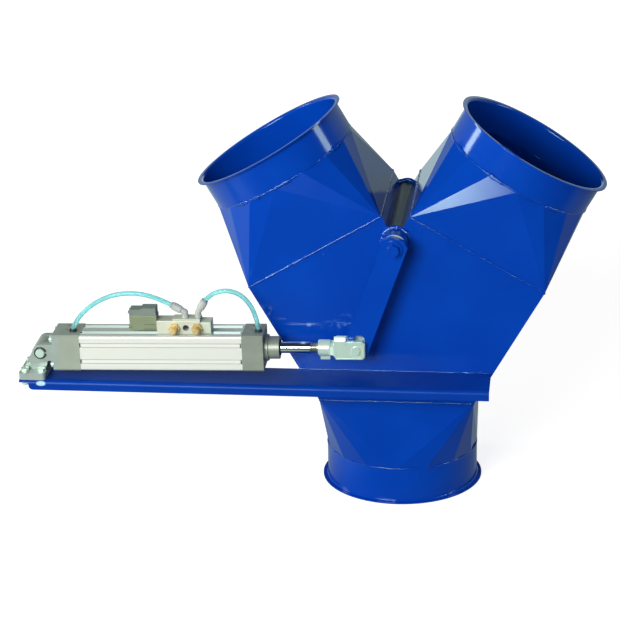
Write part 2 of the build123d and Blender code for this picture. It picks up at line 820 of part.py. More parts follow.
def clevis_bolts():
    """Four socket screws on the clevis flange."""
    screws = []
    seat = clevis_reach - clevis_flange
    for y, z in cap_bolt_corners():
        screw = rod_x(socket_head * cap_bolt / 2, seat - socket_height * cap_bolt, seat, y, z)
        screw += rod_x(cap_bolt / 2, seat, clevis_reach, y, z)
        screws.append(on_cylinder(screw - rod_x(socket * cap_bolt / 2, seat - cap_bolt, seat - over, y, z)))
    return Compound(screws)


def pin_groove_range(side):
    """Where the groove for a ring starts and ends near one end of the rear pin."""
    start = clevis_width / 2 + pin_groove_inset
    return sorted((side * start, side * (start + pin_groove)))


def clevis_pin():
    """The rear pin, grooved near both ends for its rings."""
    reach = clevis_width / 2 + pin_overhang
    pin = rod_y(pivot_pin / 2, -reach, reach)
    pin = chamfer(pin.edges(), pin_chamfer)
    for side in (-1, 1):
        y_range = pin_groove_range(side)
        pin -= rod_y(pivot_pin, *y_range) - rod_y(pivot_pin / 2 - pin_groove_depth, *y_range)
    return on_cylinder(pin)


def pin_rings():
    """The rings in the pin's grooves, open at the front."""
    half = pin_ring_opening / 2
    rings = []
    for side in (-1, 1):
        low, high = pin_groove_range(side)
        y_range = (low + running_gap, high - running_gap)
        ring = rod_y(pivot_pin / 2 + pin_ring_wall, *y_range)
        ring -= rod_y(pivot_pin / 2 - pin_groove_depth, *y_range)
        rings.append(on_cylinder(ring - block((0, pivot_pin), y_range, (-half, half))))
    return Compound(rings)


def piston_rod():
    """The rod: from the piston to its threaded end, with two spanner flats near the shoulder."""
    piston_start = barrel_start + stop_gap + rod_rest
    piston_end = piston_start + piston_length
    rod = rod_x(rod_diameter / 2, piston_end, rod_shoulder)
    rod += rod_x(piston_stud / 2, piston_start, piston_end)
    rod += rod_x(rod_thread / 2, rod_shoulder, rod_shoulder + thread_shown + thread_engaged)
    flats_x = (rod_shoulder - 2 * rod_flat_length, rod_shoulder - rod_flat_length)
    for side in (-1, 1):
        z_range = sorted((side * rod_flat / 2, side * rod_diameter))
        rod -= block(flats_x, (-rod_diameter, rod_diameter), z_range)
    return on_cylinder(rod)


def piston():
    """The piston, grooved for its seal."""
    start = barrel_start + stop_gap + rod_rest
    shape = rod_x(bore / 2 - running_gap, start, start + piston_length)
    shape -= rod_x(piston_stud / 2 + running_gap, start - over, start + piston_length + over)
    middle = start + piston_length / 2
    seal_x = (middle - seal_width / 2, middle + seal_width / 2)
    return on_cylinder(shape - (rod_x(bore, *seal_x) - rod_x(bore / 2 - seal_depth, *seal_x)))


def piston_seal():
    """The ring in the piston's groove."""
    middle = barrel_start + stop_gap + rod_rest + piston_length / 2
    half = seal_width / 2 - bolt_clearance
    ring = rod_x(bore / 2 - running_gap, middle - half, middle + half)
    return on_cylinder(ring - rod_x(bore / 2 - seal_depth, middle - seal_width, middle + seal_width))


def rod_wiper():
    """The wiper ring in the front boss."""
    end = cap_face + rod_boss
    ring = rod_x(rod_diameter / 2 + wiper_wall, end - wiper_depth, end + wiper_lip)
    return on_cylinder(ring - rod_x(rod_diameter / 2 + running_gap, end - rod_boss, end + rod_boss))


def fork():
    """The fork head: a square body slotted for the lever, turned down to a round neck."""
    half = fork_size / 2
    neck_end = fork_neck_length - fork_length
    clipped = fork_nose - fork_clip_off
    outline = [(neck_end + fork_cone, -half), (clipped, -half), (fork_nose, fork_clip_off - half),
               (fork_nose, half - fork_clip_off), (clipped, half), (neck_end + fork_cone, half)]
    body = profile_y(outline, -half, half)
    body += Pos(neck_end + fork_cone / 2, 0, 0) * Rot(0, 90, 0) * Cone(fork_neck / 2, half, fork_cone)
    body += rod_x(fork_neck / 2, -fork_length, neck_end)
    body -= block((-fork_root, fork_nose + over), (-fork_gap / 2, fork_gap / 2), (-half - over, half + over))
    body -= rod_x(rod_thread / 2 + running_gap, -fork_length - over, thread_engaged + side_play - fork_length)
    body -= rod_y(fork_pin / 2 + 2 * running_gap, -half - over, half + over)
    return on_cylinder(Pos(fork_reach, 0, 0) * body)


def clip_outline(inset):
    """The clip's cheek as (x, z) round the pin, moved in by a rim."""
    edge = fork_size / 2 - clip_margin - inset
    front = clip_front - inset
    return [(-clip_back, -edge), (front - clip_corner, -edge), (front, clip_corner - edge),
            (front, edge - clip_corner), (front - clip_corner, edge), (-clip_back, edge)]


def fork_clip():
    """The clip: a pin on a rimmed sheet cheek that lips over the fork's edge and hooks round its neck."""
    half = fork_size / 2
    back_y = -half - clip_gap
    front_y = back_y - clip_sheet
    strip = clip_strip / 2
    taper_end = -clip_back - clip_taper
    cheek = profile_y(clip_outline(0) + [(taper_end, strip), (taper_end, -strip)], front_y, back_y)
    cheek -= profile_y(clip_outline(clip_rim), front_y - over, front_y + clip_rim_step)
    pin = rod_y(fork_pin / 2, front_y - clip_pin_proud, half + clip_pin_end)
    clip = cheek + chamfer(pin.edges().sort_by(Axis.Y)[0], pin_chamfer)
    lip_x = (-clip_lip[1], -clip_lip[0])
    lip_z = (half + clip_gap, half + clip_gap + clip_sheet)
    tab_y = (-fork_gap / 2 - clip_sheet, -fork_gap / 2)
    clip += block(lip_x, (front_y, tab_y[1]), lip_z)
    clip += block(lip_x, (front_y, back_y), (half - clip_corner, lip_z[1]))
    clip += block(lip_x, tab_y, (lip_z[0], lip_z[1] + clip_tab))
    clip += clip_hook_round_neck(front_y, back_y, taper_end, strip)
    return on_cylinder(Pos(fork_reach, 0, 0) * clip)


def clip_hook_round_neck(front_y, back_y, taper_end, strip):
    """The clip's hook: a strip from the cheek, a half ring round the fork's neck and a tail below."""
    inside = fork_neck / 2 + clip_gap
    outside = inside + clip_sheet
    far, near = -clip_hook[1], -clip_hook[0]
    ring = rod_x(outside, far, near) - rod_x(inside, far - over, near + over)
    ring -= block((far - over, near + over), (0, fork_neck), (-fork_neck, fork_neck))
    bend = near - clip_hook_slant
    plan = Polyline((taper_end, front_y), (taper_end, back_y), (near, -inside), (bend, -inside),
                    (bend, -outside), (near, -outside), close=True)
    neck_strip = Pos(0, 0, -strip) * extrude(make_face(plan), amount=2 * strip)
    tail = block((far + clip_sheet, near - clip_sheet), (-clip_sheet, 0), (-inside - clip_tail, -inside))
    return ring + neck_strip + tail


def valve_body():
    """The valve block on the barrel: three ports in front, two on a raised pad on top."""
    top = valve_base + valve_height
    y_range = (valve_front, valve_front + valve_width)
    shape = block((valve_start, valve_end), y_range, (valve_base, top))
    shape = fillet(shape.edges().filter_by(Axis.X), valve_edge)
    pad_y = (y_range[0] + valve_pad_inset, y_range[1] - valve_pad_inset)
    shape += block((valve_start + valve_pad_start, valve_end), pad_y, (top - over, top + valve_pad))
    silencer_hole = silencer_thread / 2 + running_gap
    holes = (silencer_hole, supply_port_od / 2, silencer_hole)
    for x, radius in zip(valve_ports(), holes):
        shape -= rod_y(radius, y_range[0] - over, y_range[0] + supply_port_depth, x,
                       valve_base + silencer_height)
    for x in (elbow_left[0], elbow_right[0]):
        shape -= rod_z(elbow_thread / 2, top + valve_pad - elbow_thread_length, top + valve_pad + over, x,
                       air_line)
    return on_cylinder(shape)


def valve_ports():
    """The three front ports, as places along the cylinder."""
    middle = valve_start + supply_port
    return [middle - silencer_pitch / 2, middle, middle + silencer_pitch / 2]


def valve_end_cover():
    """The lower cover on the valve's rod-side end."""
    y_range = (valve_front + valve_cover_inset, valve_front + valve_width - valve_cover_inset)
    top = valve_base + valve_height - valve_cover_drop
    shape = block((valve_end, valve_end + valve_cover), y_range, (valve_base, top))
    return on_cylinder(fillet(shape.edges().filter_by(Axis.X), valve_cover_edge))


def pilot_block():
    """The pilot section beside the valve, lifted clear of the barrel, with two slits in front."""
    y_range = (air_line - pilot_width / 2, air_line + pilot_width / 2)
    low = valve_base + pilot_lift
    start = valve_start - pilot_length
    shape = block((start, valve_start), y_range, (low, low + pilot_height))
    shape = fillet(shape.edges().filter_by(Axis.X), valve_edge)
    length, height, depth = pilot_slit
    slit_end = valve_start - pilot_slit_inset
    for step in range(2):
        z_low = low + height + pilot_slit_pitch * step
        slit_y = (y_range[0] - over, y_range[0] + depth)
        shape -= block((slit_end - length, slit_end), slit_y, (z_low, z_low + height))
    screw_x, screw_z = pilot_screw_inset
    shape -= rod_y(pilot_screw / 2, y_range[0] - over, y_range[0] + depth, start + screw_x, low + screw_z)
    return on_cylinder(shape)


def coil_housing():
    """The housing over the pilot section, with a raised cover towards the valve."""
    y_range = (air_line - pilot_width / 2 + coil_inset, air_line + pilot_width / 2 - coil_inset)
    low = valve_base + pilot_lift + pilot_height
    end = valve_start - over
    shape = block((valve_start - pilot_length, end), y_range, (low, low + coil_height))
    cover_y = (y_range[0] - coil_cover_proud, y_range[1])
    cover = block((end - coil_cover_length, end), cover_y,
                  (low + coil_cover_drop, low + coil_height + coil_cover_rise))
    return on_cylinder(fillet(shape.edges().filter_by(Axis.Y), coil_edge) + cover)


def pilot_screws():
    """Four long screws at the pilot section's free end."""
    end = valve_start - pilot_length
    low = valve_base + pilot_lift
    screws = []
    for z in (low + end_screw_inset[0], low + pilot_height + end_screw_inset[1]):
        for offset in end_screw_places:
            y = air_line + offset
            screw = rod_x(end_screw / 2, end - end_screw_height, end, y, z)
            screw -= rod_x(end_screw / 4, end - end_screw_height - over, end - end_screw_height / 2, y, z)
            screws.append(on_cylinder(screw))
    return Compound(screws)


def silencer(x):
    """A brass silencer: a threaded stub, a hexagon and a round sintered nose."""
    z = valve_base + silencer_height
    nose_start = valve_front - silencer_hexagon_length
    shape = hexagon_y(silencer_hexagon, nose_start, valve_front, x, z)
    shape += rod_y(silencer_thread / 2, valve_front, valve_front + silencer_thread_length, x, z)
    nose = rod_y(silencer_nose / 2, nose_start - silencer_nose_length, nose_start, x, z)
    shape += chamfer(nose.edges().sort_by(Axis.Y)[0], silencer_chamfer)
    return on_cylinder(shape)


def elbow_axis(place):
    """The knee of an elbow, and the frame at its exit with Z out along the tube."""
    stud_x, exit_x, exit_z = place
    knee_z = valve_base + elbow_knee
    lean = degrees(atan2(exit_x - stud_x, exit_z - knee_z))
    return (stud_x, knee_z), Pos(exit_x, air_line, exit_z) * Rot(0, lean, 0)


def elbow(place):
    """A push-in elbow on the valve: an upright stud, a round knuckle and a leaning barrel."""
    (stud_x, knee_z), exit_frame = elbow_axis(place)
    seat = valve_base + valve_height + valve_pad
    stud = rod_z(elbow_knuckle / 2, seat, knee_z, stud_x, air_line)
    stud += rod_z(elbow_thread / 2 - running_gap, seat - elbow_thread_length, seat, stud_x, air_line)
    stud += Pos(stud_x, air_line, knee_z) * Sphere(elbow_knuckle / 2)
    length = hypot(place[1] - stud_x, place[2] - knee_z)
    barrel_end = -collar_height
    barrel_part = rod_z(elbow_od / 2, elbow_neck - length, barrel_end)
    barrel_part = chamfer(barrel_part.edges().filter_by(GeomType.CIRCLE), elbow_chamfer)
    groove_z = barrel_end - elbow_groove_back
    groove = rod_z(elbow_od, groove_z, groove_z + elbow_groove)
    barrel_part -= groove - rod_z(elbow_od / 2 - elbow_groove / 2, groove_z, groove_z + elbow_groove)
    barrel_part += rod_z(elbow_knuckle / 2, -length, barrel_end - elbow_chamfer)
    return on_cylinder(stud + exit_frame * barrel_part)


def elbow_collar(place):
    """The release ring that the tube goes through at an elbow's end."""
    exit_frame = elbow_axis(place)[1]
    return on_cylinder(exit_frame * rod_z(collar_od / 2, -collar_height, 0))


def port_fitting(x):
    """A push-in cartridge in a cap's port."""
    rim = cap_half + cartridge_rim
    shape = rod_z(cartridge_od / 2, cap_half - cartridge_depth, rim, x, air_line)
    shape += rod_z(cartridge_ring_od / 2, rim, port_top, x, air_line)
    return on_cylinder(shape)


def cushion_screws():
    """The two slotted screws beside the port in each cap."""
    half_slot = cushion_slot / 2
    screws = []
    for port in (port_rear, port_front):
        x = port - cushion_offset
        for y in cushion_places:
            screw = rod_z(cushion_screw / 2, cap_half - cushion_depth, cap_half - cushion_slot, x, y)
            slot_z = (cap_half - 2 * cushion_slot, cap_half)
            slot = block((x - cushion_screw, x + cushion_screw), (y - half_slot, y + half_slot), slot_z)
            screws.append(on_cylinder(screw - slot))
    return Compound(screws)


def air_tube(route):
    """A tube along straight runs joined by arcs as large as the runs allow."""
    points = [Vector(x, air_line, z) for x, z in route]
    radii = []
    for before, here, after in zip(points, points[1:], points[2:]):
        turn = radians((here - before).get_angle(after - here))
        run = min((here - before).length, (after - here).length)
        radii.append(0.45 * run / tan(turn / 2))
    path = FilletPolyline(*points, radius=radii)
    start = Plane(origin=points[0], z_dir=points[1] - points[0])
    tube = sweep(start * Circle(tube_diameter / 2), path=path)
    print("tube length", round(path.length, 1), "radii", [round(radius) for radius in radii])
    return on_cylinder(tube)


upside_down = Rot(180, 0, 0)
pieces = {
    "outlet_collar": Pos(0, 0, outlet_collar_length) * upside_down * collar(outlet_collar_length),
    "outlet_transition": Pos(0, 0, box_bottom) * upside_down * transition(
        foot_width, outlet_transition_length),
    "front_plate": y_plate(-1),
    "rear_plate": y_plate(1),
    "shaft_tube": shaft_tube(),
    "bush_front": bush(-1),
    "bush_rear": bush(1),
    "cylinder_bracket": cylinder_bracket(),
    "pivot_block": pivot_block(),
    "pivot_block_bolts": block_bolts(),
    "pivot_block_washers": block_washers(),
    "pivot_block_nuts": block_nuts(),
    "flap_shaft": flap_shaft(),
    "flap_plate_left": flap_plate_side(-1),
    "flap_plate_right": flap_plate_side(1),
    "flap_rubber": flap_rubber_sheet(),
    "flap_bolts": flap_bolts(),
    "flap_nuts": flap_nuts(),
    "shaft_washer": rear_washer(),
    "shaft_circlip": circlip(),
    "lever_spacer": lever_spacer(),
    "lever": lever(),
    "lever_washer": lever_washer(),
    "lever_bolt": lever_hex_bolt(),
    "rear_cap": cap(clevis_reach, False),
    "front_cap": cap(front_cap_start, True),
    "barrel": barrel(),
    "groove_strips": groove_strips(),
    "cap_bolts": cap_bolts(),
    "rear_clevis": rear_clevis(),
    "clevis_bolts": clevis_bolts(),
    "clevis_pin": clevis_pin(),
    "clevis_pin_rings": pin_rings(),
    "cushion_screws": cushion_screws(),
    "rod_wiper": rod_wiper(),
    "piston_rod": piston_rod(),
    "piston": piston(),
    "piston_seal": piston_seal(),
    "fork_head": fork(),
    "fork_clip": fork_clip(),
    "valve_body": valve_body(),
    "valve_end_cover": valve_end_cover(),
    "pilot_block": pilot_block(),
    "coil_housing": coil_housing(),
    "pilot_screws": pilot_screws(),
    "silencers": Compound([silencer(valve_ports()[0]), silencer(valve_ports()[2])]),
    "elbow_left": elbow(elbow_left),
    "elbow_right": elbow(elbow_right),
    "elbow_collars": Compound([elbow_collar(elbow_left), elbow_collar(elbow_right)]),
    "port_fittings": Compound([port_fitting(port_rear), port_fitting(port_front)]),
    "air_tube_rear": air_tube(rear_tube_route),
    "air_tube_front": air_tube(front_tube_route),
}
for side, name in ((-1, "left"), (1, "right")):
    leg_transition = transition(leg_width, inlet_transition_length)
    leg_collar = Pos(0, 0, inlet_transition_length) * collar(inlet_collar_length)
    pieces["inlet_transition_" + name] = leg_frame(side) * leg_transition
    pieces["inlet_collar_" + name] = leg_frame(side) * leg_collar
    pieces["side_plate_" + name] = side_plate(side)
    pieces["crotch_plate_" + name] = crotch_plate(side)

os.makedirs("parts", exist_ok=True)
for name, piece in pieces.items():
    export_step(piece, "parts/" + name + ".step")
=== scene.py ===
# %% [markdown]
# # A painted duct diverter valve
#
# The real object is a two-way valve for round duct: a welded Y of sheet steel, sprayed glossy blue,
# with a compressed air cylinder on a bracket in front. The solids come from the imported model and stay
# where they are. This lesson gives them their finishes, adds what is too fine for the solids, such as
# weld beads and a screw thread, and sets up the camera and the lights.

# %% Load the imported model
import json
import random
from math import atan2, cos, degrees, pi, radians, sin, tan

import bpy
from mathutils import Matrix, Vector, noise


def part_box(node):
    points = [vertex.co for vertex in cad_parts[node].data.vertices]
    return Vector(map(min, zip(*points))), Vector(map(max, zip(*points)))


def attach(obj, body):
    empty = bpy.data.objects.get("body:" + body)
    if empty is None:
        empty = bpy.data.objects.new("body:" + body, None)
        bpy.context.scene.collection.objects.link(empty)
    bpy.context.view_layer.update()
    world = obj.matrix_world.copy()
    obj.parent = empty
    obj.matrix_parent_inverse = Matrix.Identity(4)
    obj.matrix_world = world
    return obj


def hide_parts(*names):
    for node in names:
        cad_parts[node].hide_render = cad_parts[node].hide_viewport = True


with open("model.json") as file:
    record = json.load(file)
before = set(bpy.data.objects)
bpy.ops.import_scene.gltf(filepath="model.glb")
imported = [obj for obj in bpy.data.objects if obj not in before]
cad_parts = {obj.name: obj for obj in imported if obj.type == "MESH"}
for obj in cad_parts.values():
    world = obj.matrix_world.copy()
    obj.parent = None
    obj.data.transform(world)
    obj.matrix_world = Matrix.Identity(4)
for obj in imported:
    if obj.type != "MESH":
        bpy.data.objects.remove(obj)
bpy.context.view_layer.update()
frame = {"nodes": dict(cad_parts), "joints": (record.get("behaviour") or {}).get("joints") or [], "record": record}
nodes = frame["nodes"]
joints = {joint["name"]: joint for joint in frame["joints"]}
mounts = {mount["name"]: mount for mount in frame["record"]["mounts"]}
scene = bpy.context.scene
scene.view_settings.view_transform = "Standard"
MM = 0.001

# %% [markdown]
# ## The sizes this file reads from the model
#
# Added pieces sit on the solids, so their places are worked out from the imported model: its joints give
# the shaft's height and the cylinder's pivot and slant, its mounts give the ducts, and the boxes of a
# few plates give the folded body. Everything is then in millimetres, and three helpers turn a point of
# the valve's, the cylinder's or a leg's own frame into Blender's metres.

# %% Shared sizes and frames
sheet = 2.0
duct_radius = mounts["outlet"]["dims"]["r_mm"] + sheet
half_depth = -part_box("front_plate")[0].y / MM
box_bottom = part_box("front_plate")[0].z / MM
foot_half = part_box("outlet_transition")[1].x / MM
leg_way = Vector(mounts["inlet_right"]["axis"])
leg = atan2(leg_way.x, leg_way.z)
crotch_z = joints["flap_swing"]["pos_m"][2] / MM
leg_neck = (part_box("front_plate")[1].z / MM - crotch_z) / cos(leg)
leg_width = (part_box("front_plate")[1].x / MM - leg_neck * sin(leg)) / cos(leg)
bracket_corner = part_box("cylinder_bracket")[1] / MM
bracket_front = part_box("cylinder_bracket")[0].y / MM
pivot = Vector(joints["cylinder_tilt"]["pos_m"]) / MM
rod_way = Vector(joints["rod_slide"]["axis"])
tilt = atan2(rod_way.z, rod_way.x)


def at(x, y, z):
    """A point of the valve's frame, given in millimetres."""
    return Vector((x, y, z)) * MM


def on_cylinder(along, across, up):
    """A point of the cylinder's own frame: along it from the rear pin, across it, and up from its axis."""
    x = pivot.x + along * cos(tilt) - up * sin(tilt)
    z = pivot.z + along * sin(tilt) + up * cos(tilt)
    return at(x, pivot.y + across, z)


def on_leg(side, across, depth, up):
    """A point of a leg's frame: up along the leg from the middle of its square seam."""
    middle_x = side * (leg_neck * sin(leg) + leg_width / 2 * cos(leg))
    middle_z = crotch_z + leg_neck * cos(leg) - leg_width / 2 * sin(leg)
    return at(middle_x + side * (across * cos(leg) + up * sin(leg)), depth,
              middle_z + up * cos(leg) - across * sin(leg))


print("leg", round(degrees(leg), 2), "degrees,", round(leg_width, 1), "mm wide, neck", round(leg_neck, 1))
print("shaft at", round(crotch_z, 1), "mm, cylinder tilt", round(degrees(tilt), 3), "degrees")

# %% [markdown]
# ## The camera
#
# The photograph was taken from a little to the right and well above the middle, with a long lens.
# The seven numbers below place the camera: they were found by matching about a hundred corners and
# outlines of the model to the photograph, so the render can be laid over it.

# %% Camera
photo_width = 620
focal_pixels = 2395.2
camera_yaw = radians(6.64)
camera_pitch = radians(20.36)
camera_roll = radians(-1.07)
camera_target = at(-167.04, 0, 314.67)
camera_distance = 4352.7 * MM

back = Vector((sin(camera_yaw) * cos(camera_pitch), -cos(camera_yaw) * cos(camera_pitch),
               sin(camera_pitch)))
level_right = Vector((cos(camera_yaw), sin(camera_yaw), 0))
level_up = back.cross(level_right)
right = cos(camera_roll) * level_right + sin(camera_roll) * level_up
up = cos(camera_roll) * level_up - sin(camera_roll) * level_right

camera_data = bpy.data.cameras.new("camera")
camera_data.sensor_width = 36
camera_data.lens = focal_pixels / photo_width * camera_data.sensor_width
camera_data.clip_end = 100
camera = bpy.data.objects.new("camera", camera_data)
camera.matrix_world = Matrix.Translation(camera_target + back * camera_distance) @ Matrix(
    (right, up, back)).transposed().to_4x4()
scene.collection.objects.link(camera)
scene.camera = camera
print("lens", round(camera_data.lens, 1), "mm")

# %% [markdown]
# ## The two air tubes
#
# Each tube is 8 mm polyurethane, stiff enough to stand in an arch between its two push-in fittings.
# A NURBS curve of order 3 bends smoothly past its control points, which are the points of the solid's
# own route, and its round bevel gives the wall. A curve's box counts the radius of its points, so the
# points carry the tube's radius and the bevel is left at 1.

# %% Air tubes
air_line = -9.0
tube_diameter = 8.0
port_rear = (56.8, 38.0)
port_front = (385.5, 38.0)
elbow_left_exit = (234.3, 82.7)
elbow_right_exit = (294.7, 91.3)
rear_route = [port_rear, (63.5, 51.0), (75.5, 66.5), (93.0, 81.5), (114.0, 93.5), (137.0, 101.5),
              (162.5, 104.0), (187.5, 101.5), (211.5, 93.8), elbow_left_exit]
front_route = [elbow_right_exit, (302.0, 98.1), (312.3, 104.3), (324.3, 108.0), (337.0, 108.2),
               (349.4, 104.8), (360.2, 98.0), (369.0, 88.5), (375.6, 77.4), (380.4, 65.0), (383.8, 51.6),
               port_front]


def air_tube(name, route, replaced):
    """A round tube along a route in the cylinder's frame."""
    curve = bpy.data.curves.new(name, "CURVE")
    curve.dimensions = "3D"
    spline = curve.splines.new("NURBS")
    spline.points.add(len(route) - 1)
    for point, (along, height) in zip(spline.points, route):
        point.co = (*on_cylinder(along, air_line, height), 1)
        point.radius = tube_diameter / 2 * MM
    spline.order_u = 3
    spline.use_endpoint_u = True
    spline.resolution_u = 12
    curve.bevel_depth = 1.0
    curve.bevel_resolution = 8
    tube = bpy.data.objects.new(name, curve)
    scene.collection.objects.link(tube)
    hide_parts(replaced)
    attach(tube, "cylinder")
    first = on_cylinder(route[0][0], air_line, route[0][1])
    return tube


tubes = [air_tube("rear_tube", rear_route, "air_tube_rear"),
         air_tube("front_tube", front_route, "air_tube_front")]
print("tubes", [tube.name for tube in tubes])

# %% [markdown]
# ## Shader maths in plain Python
#
# A procedural finish is arithmetic on noise: a mask times a colour, one minus a mask, and so on. Wiring
# Math nodes by hand hides that arithmetic, so a small class wraps a socket and lets Python's operators
# add the nodes. One method of the wiring adds any other node, from its type, its settings and its
# sockets' values or links.

# %% A number that varies over a surface


class Value:
    """A number that changes over the surface. Its operators add Math nodes."""

    def __init__(self, wiring, socket):
        self.wiring = wiring
        self.socket = socket

    def maths(self, operation, first, second):
        """Adds one Math node."""
        return self.wiring.node("Math", {"operation": operation}, {0: first, 1: second})

    def __add__(self, other):
        return self.maths("ADD", self, other)

    def __sub__(self, other):
        return self.maths("SUBTRACT", self, other)

    def __rsub__(self, other):
        return self.maths("SUBTRACT", other, self)

    def __mul__(self, other):
        return self.maths("MULTIPLY", self, other)

    def size(self):
        """The number without its sign."""
        return self.maths("ABSOLUTE", self, 0.0)

    def or_more(self, other):
        """The larger of two masks, which is 1 where either of them is."""
        return self.maths("MAXIMUM", self, other)

    def or_less(self, other):
        """The smaller of two numbers."""
        return self.maths("MINIMUM", self, other)

    def step(self, low, high):
        """A smooth mask that is 0 below low and 1 above high."""
        return self.wiring.node("MapRange", {"interpolation_type": "SMOOTHSTEP"},
                                {"Value": self, "From Min": low, "From Max": high})


# %% The wiring of a material, of the floor or of the world


class Wiring:
    """A node tree, with one method that adds a node and a few for the nodes that are used most."""

    def __init__(self, tree):
        self.tree = tree

    def node(self, kind, settings=None, sockets=None, output=0):
        """Adds a node: first its settings, then the values or links of its sockets."""
        made = self.tree.nodes.new("ShaderNode" + kind)
        for name, value in (settings or {}).items():
            setattr(made, name, value)
        for name, value in (sockets or {}).items():
            self.feed(made.inputs[name], value)
        return Value(self, made.outputs[output])

    def feed(self, socket, value):
        """Links a value to a socket, or sets a plain number or colour on it."""
        if isinstance(value, Value):
            self.tree.links.new(value.socket, socket)
        elif socket.type == "RGBA":
            socket.default_value = (*value, 1)
        else:
            socket.default_value = value

    def place(self):
        """The point of the surface in the object's own frame, in metres."""
        return self.node("TexCoord", output="Object")

    def axis(self, name, of=None):
        """One coordinate of a point or a direction."""
        return self.node("SeparateXYZ", sockets={"Vector": of or self.place()}, output=name)

    def noise(self, scale, detail=2.0, roughness=0.5, where=None):
        """Soft noise from 0 to 1, with about this many blotches in a metre."""
        sockets = {"Scale": scale, "Detail": detail, "Roughness": roughness,
                   "Vector": where or self.place()}
        return self.node("TexNoise", sockets=sockets, output="Fac")

    def stretched(self, scale):
        """The place with each axis scaled, which draws a grain out along the axis of the least scale."""
        return self.node("Mapping", sockets={"Vector": self.place(), "Scale": scale})

    def rays(self):
        """Masks of the rays that come from the camera, from a mirroring surface and through a clear one."""
        kinds = ("Is Camera Ray", "Is Glossy Ray", "Is Transmission Ray")
        return [self.node("LightPath", output=kind) for kind in kinds]

    def patch(self, centre, radii, softness=0.3):
        """A mask that is 1 inside an ellipsoid, given in millimetres, and fades to 0 at its skin."""
        away = self.node("VectorMath", {"operation": "SUBTRACT"}, {0: self.place(), 1: at(*centre)})
        share = self.node("VectorMath", {"operation": "DIVIDE"}, {0: away, 1: at(*radii)})
        distance = self.node("VectorMath", {"operation": "LENGTH"}, {0: share}, output="Value")
        return 1 - distance.step(1 - softness, 1)

    def mix(self, mask, first, second):
        """A colour that goes from the first to the second where the mask goes from 0 to 1."""
        factor, one, other, result = 0, 6, 7, 2
        return self.node("Mix", {"data_type": "RGBA"}, {factor: mask, one: first, other: second}, result)


class Finish(Wiring):
    """A material and the nodes that feed its shader."""

    def __init__(self, name):
        self.material = bpy.data.materials.new(name)
        self.material.use_nodes = True
        super().__init__(self.material.node_tree)
        self.shader = self.tree.nodes["Principled BSDF"]

    def bump(self, height, distance, strength=1.0, under=None):
        """A normal from a height, where a height of 1 stands this many metres proud."""
        sockets = {"Height": height, "Distance": distance, "Strength": strength}
        if under:
            sockets["Normal"] = under
        return self.node("Bump", sockets=sockets)

    def set(self, **values):
        """Feeds the shader's sockets, with underscores for the spaces in their names."""
        for name, value in values.items():
            self.feed(self.shader.inputs[name.replace("_", " ")], value)
        return self.material


print("materials so far", len(bpy.data.materials))

# %% [markdown]
# ## Glossy blue enamel
#
# The body is sprayed with a thick glossy enamel. Close up it has a fine orange peel, and the thin sheet
# under it is never quite flat, which bends the reflections of long edges. Two layers of bump make both:
# a very fine one for the peel, and a slow one for the sheet. A mark is a mask and a colour that a piece's
# own enamel may ask for, and it roughens the paint too. Where the paint was rubbed, a mark lightens it;
# one mark is a painted glint on the bracket's bend, and one is painted shade deep in the crotch.

# %% Blue enamel
enamel_blue = (0.0009, 0.0530, 0.4250)
enamel_deep = (0.0007, 0.0460, 0.3900)
shaded_blue = (0.004, 0.016, 0.034)
rubbed_blue = (0.060, 0.200, 0.620)
painted_glint_colour = (0.480, 0.760, 0.900)
mark_roughness = 0.25
peel_scale, peel_height = 420.0, 0.04 * MM
buckle_scale, buckle_height = 6.0, 3 * MM
ripple_scale = 260.0


def blue_enamel(name, marks=(), ripple=0.0, gloss=0.12, specular=0.5, shade=1.0):
    """The enamel, with marks as functions that give a mask and a colour, and a ripple in mm for beads."""
    finish = Finish(name)
    deep, pure = (tuple(part * shade for part in tone) for tone in (enamel_deep, enamel_blue))
    colour = finish.mix(finish.noise(9.0, 3.0).step(0.35, 0.7), deep, pure)
    roughness = finish.noise(30.0, 2.0) * 0.04 + (gloss - 0.02)
    for mark in marks:
        mask, marked = mark(finish)
        colour = finish.mix(mask, colour, marked)
        roughness = roughness + mask * mark_roughness
    normal = finish.bump(finish.noise(peel_scale, 2.0), peel_height, 0.3)
    normal = finish.bump(finish.noise(buckle_scale, 1.5), buckle_height, 0.15, under=normal)
    if ripple:
        normal = finish.bump(finish.noise(ripple_scale, 3.0, 0.6), ripple * MM, 0.8, under=normal)
    return finish.set(Base_Color=colour, Roughness=roughness, Normal=normal, IOR=1.47,
                      Specular_IOR_Level=specular, Specular_Tint=(0.72, 1.0, 0.86))


def painted_glint_spot(finish):
    """A painted glint on the bracket's front bend: a small ragged bright spot that stands in for a reflection."""
    ragged = finish.noise(220.0, 3.0) * 0.5 + 0.6
    spot_middle = (pivot.x, bracket_front, bracket_corner.z - 6)
    spot_radii = (9.5, 9, 5)
    return finish.patch(spot_middle, spot_radii) * ragged, painted_glint_colour


def scuffs(finish):
    """A row of small rubbed marks low on the front plate, beside the lever."""
    flecks = finish.noise(150.0, 4.0, 0.7).step(0.54, 0.62)
    row_middle = (-101, -half_depth, 341)
    row_radii = (36, 10, 10)
    return finish.patch(row_middle, row_radii, softness=0.6) * flecks * 0.6, rubbed_blue


def crotch_shade(finish):
    """Painted shade in the crotch: from 25 mm behind the front plate on, the enamel is painted darker."""
    fade = 25
    return finish.axis("Y").step(-half_depth * MM, (fade - half_depth) * MM) * 0.85, shaded_blue


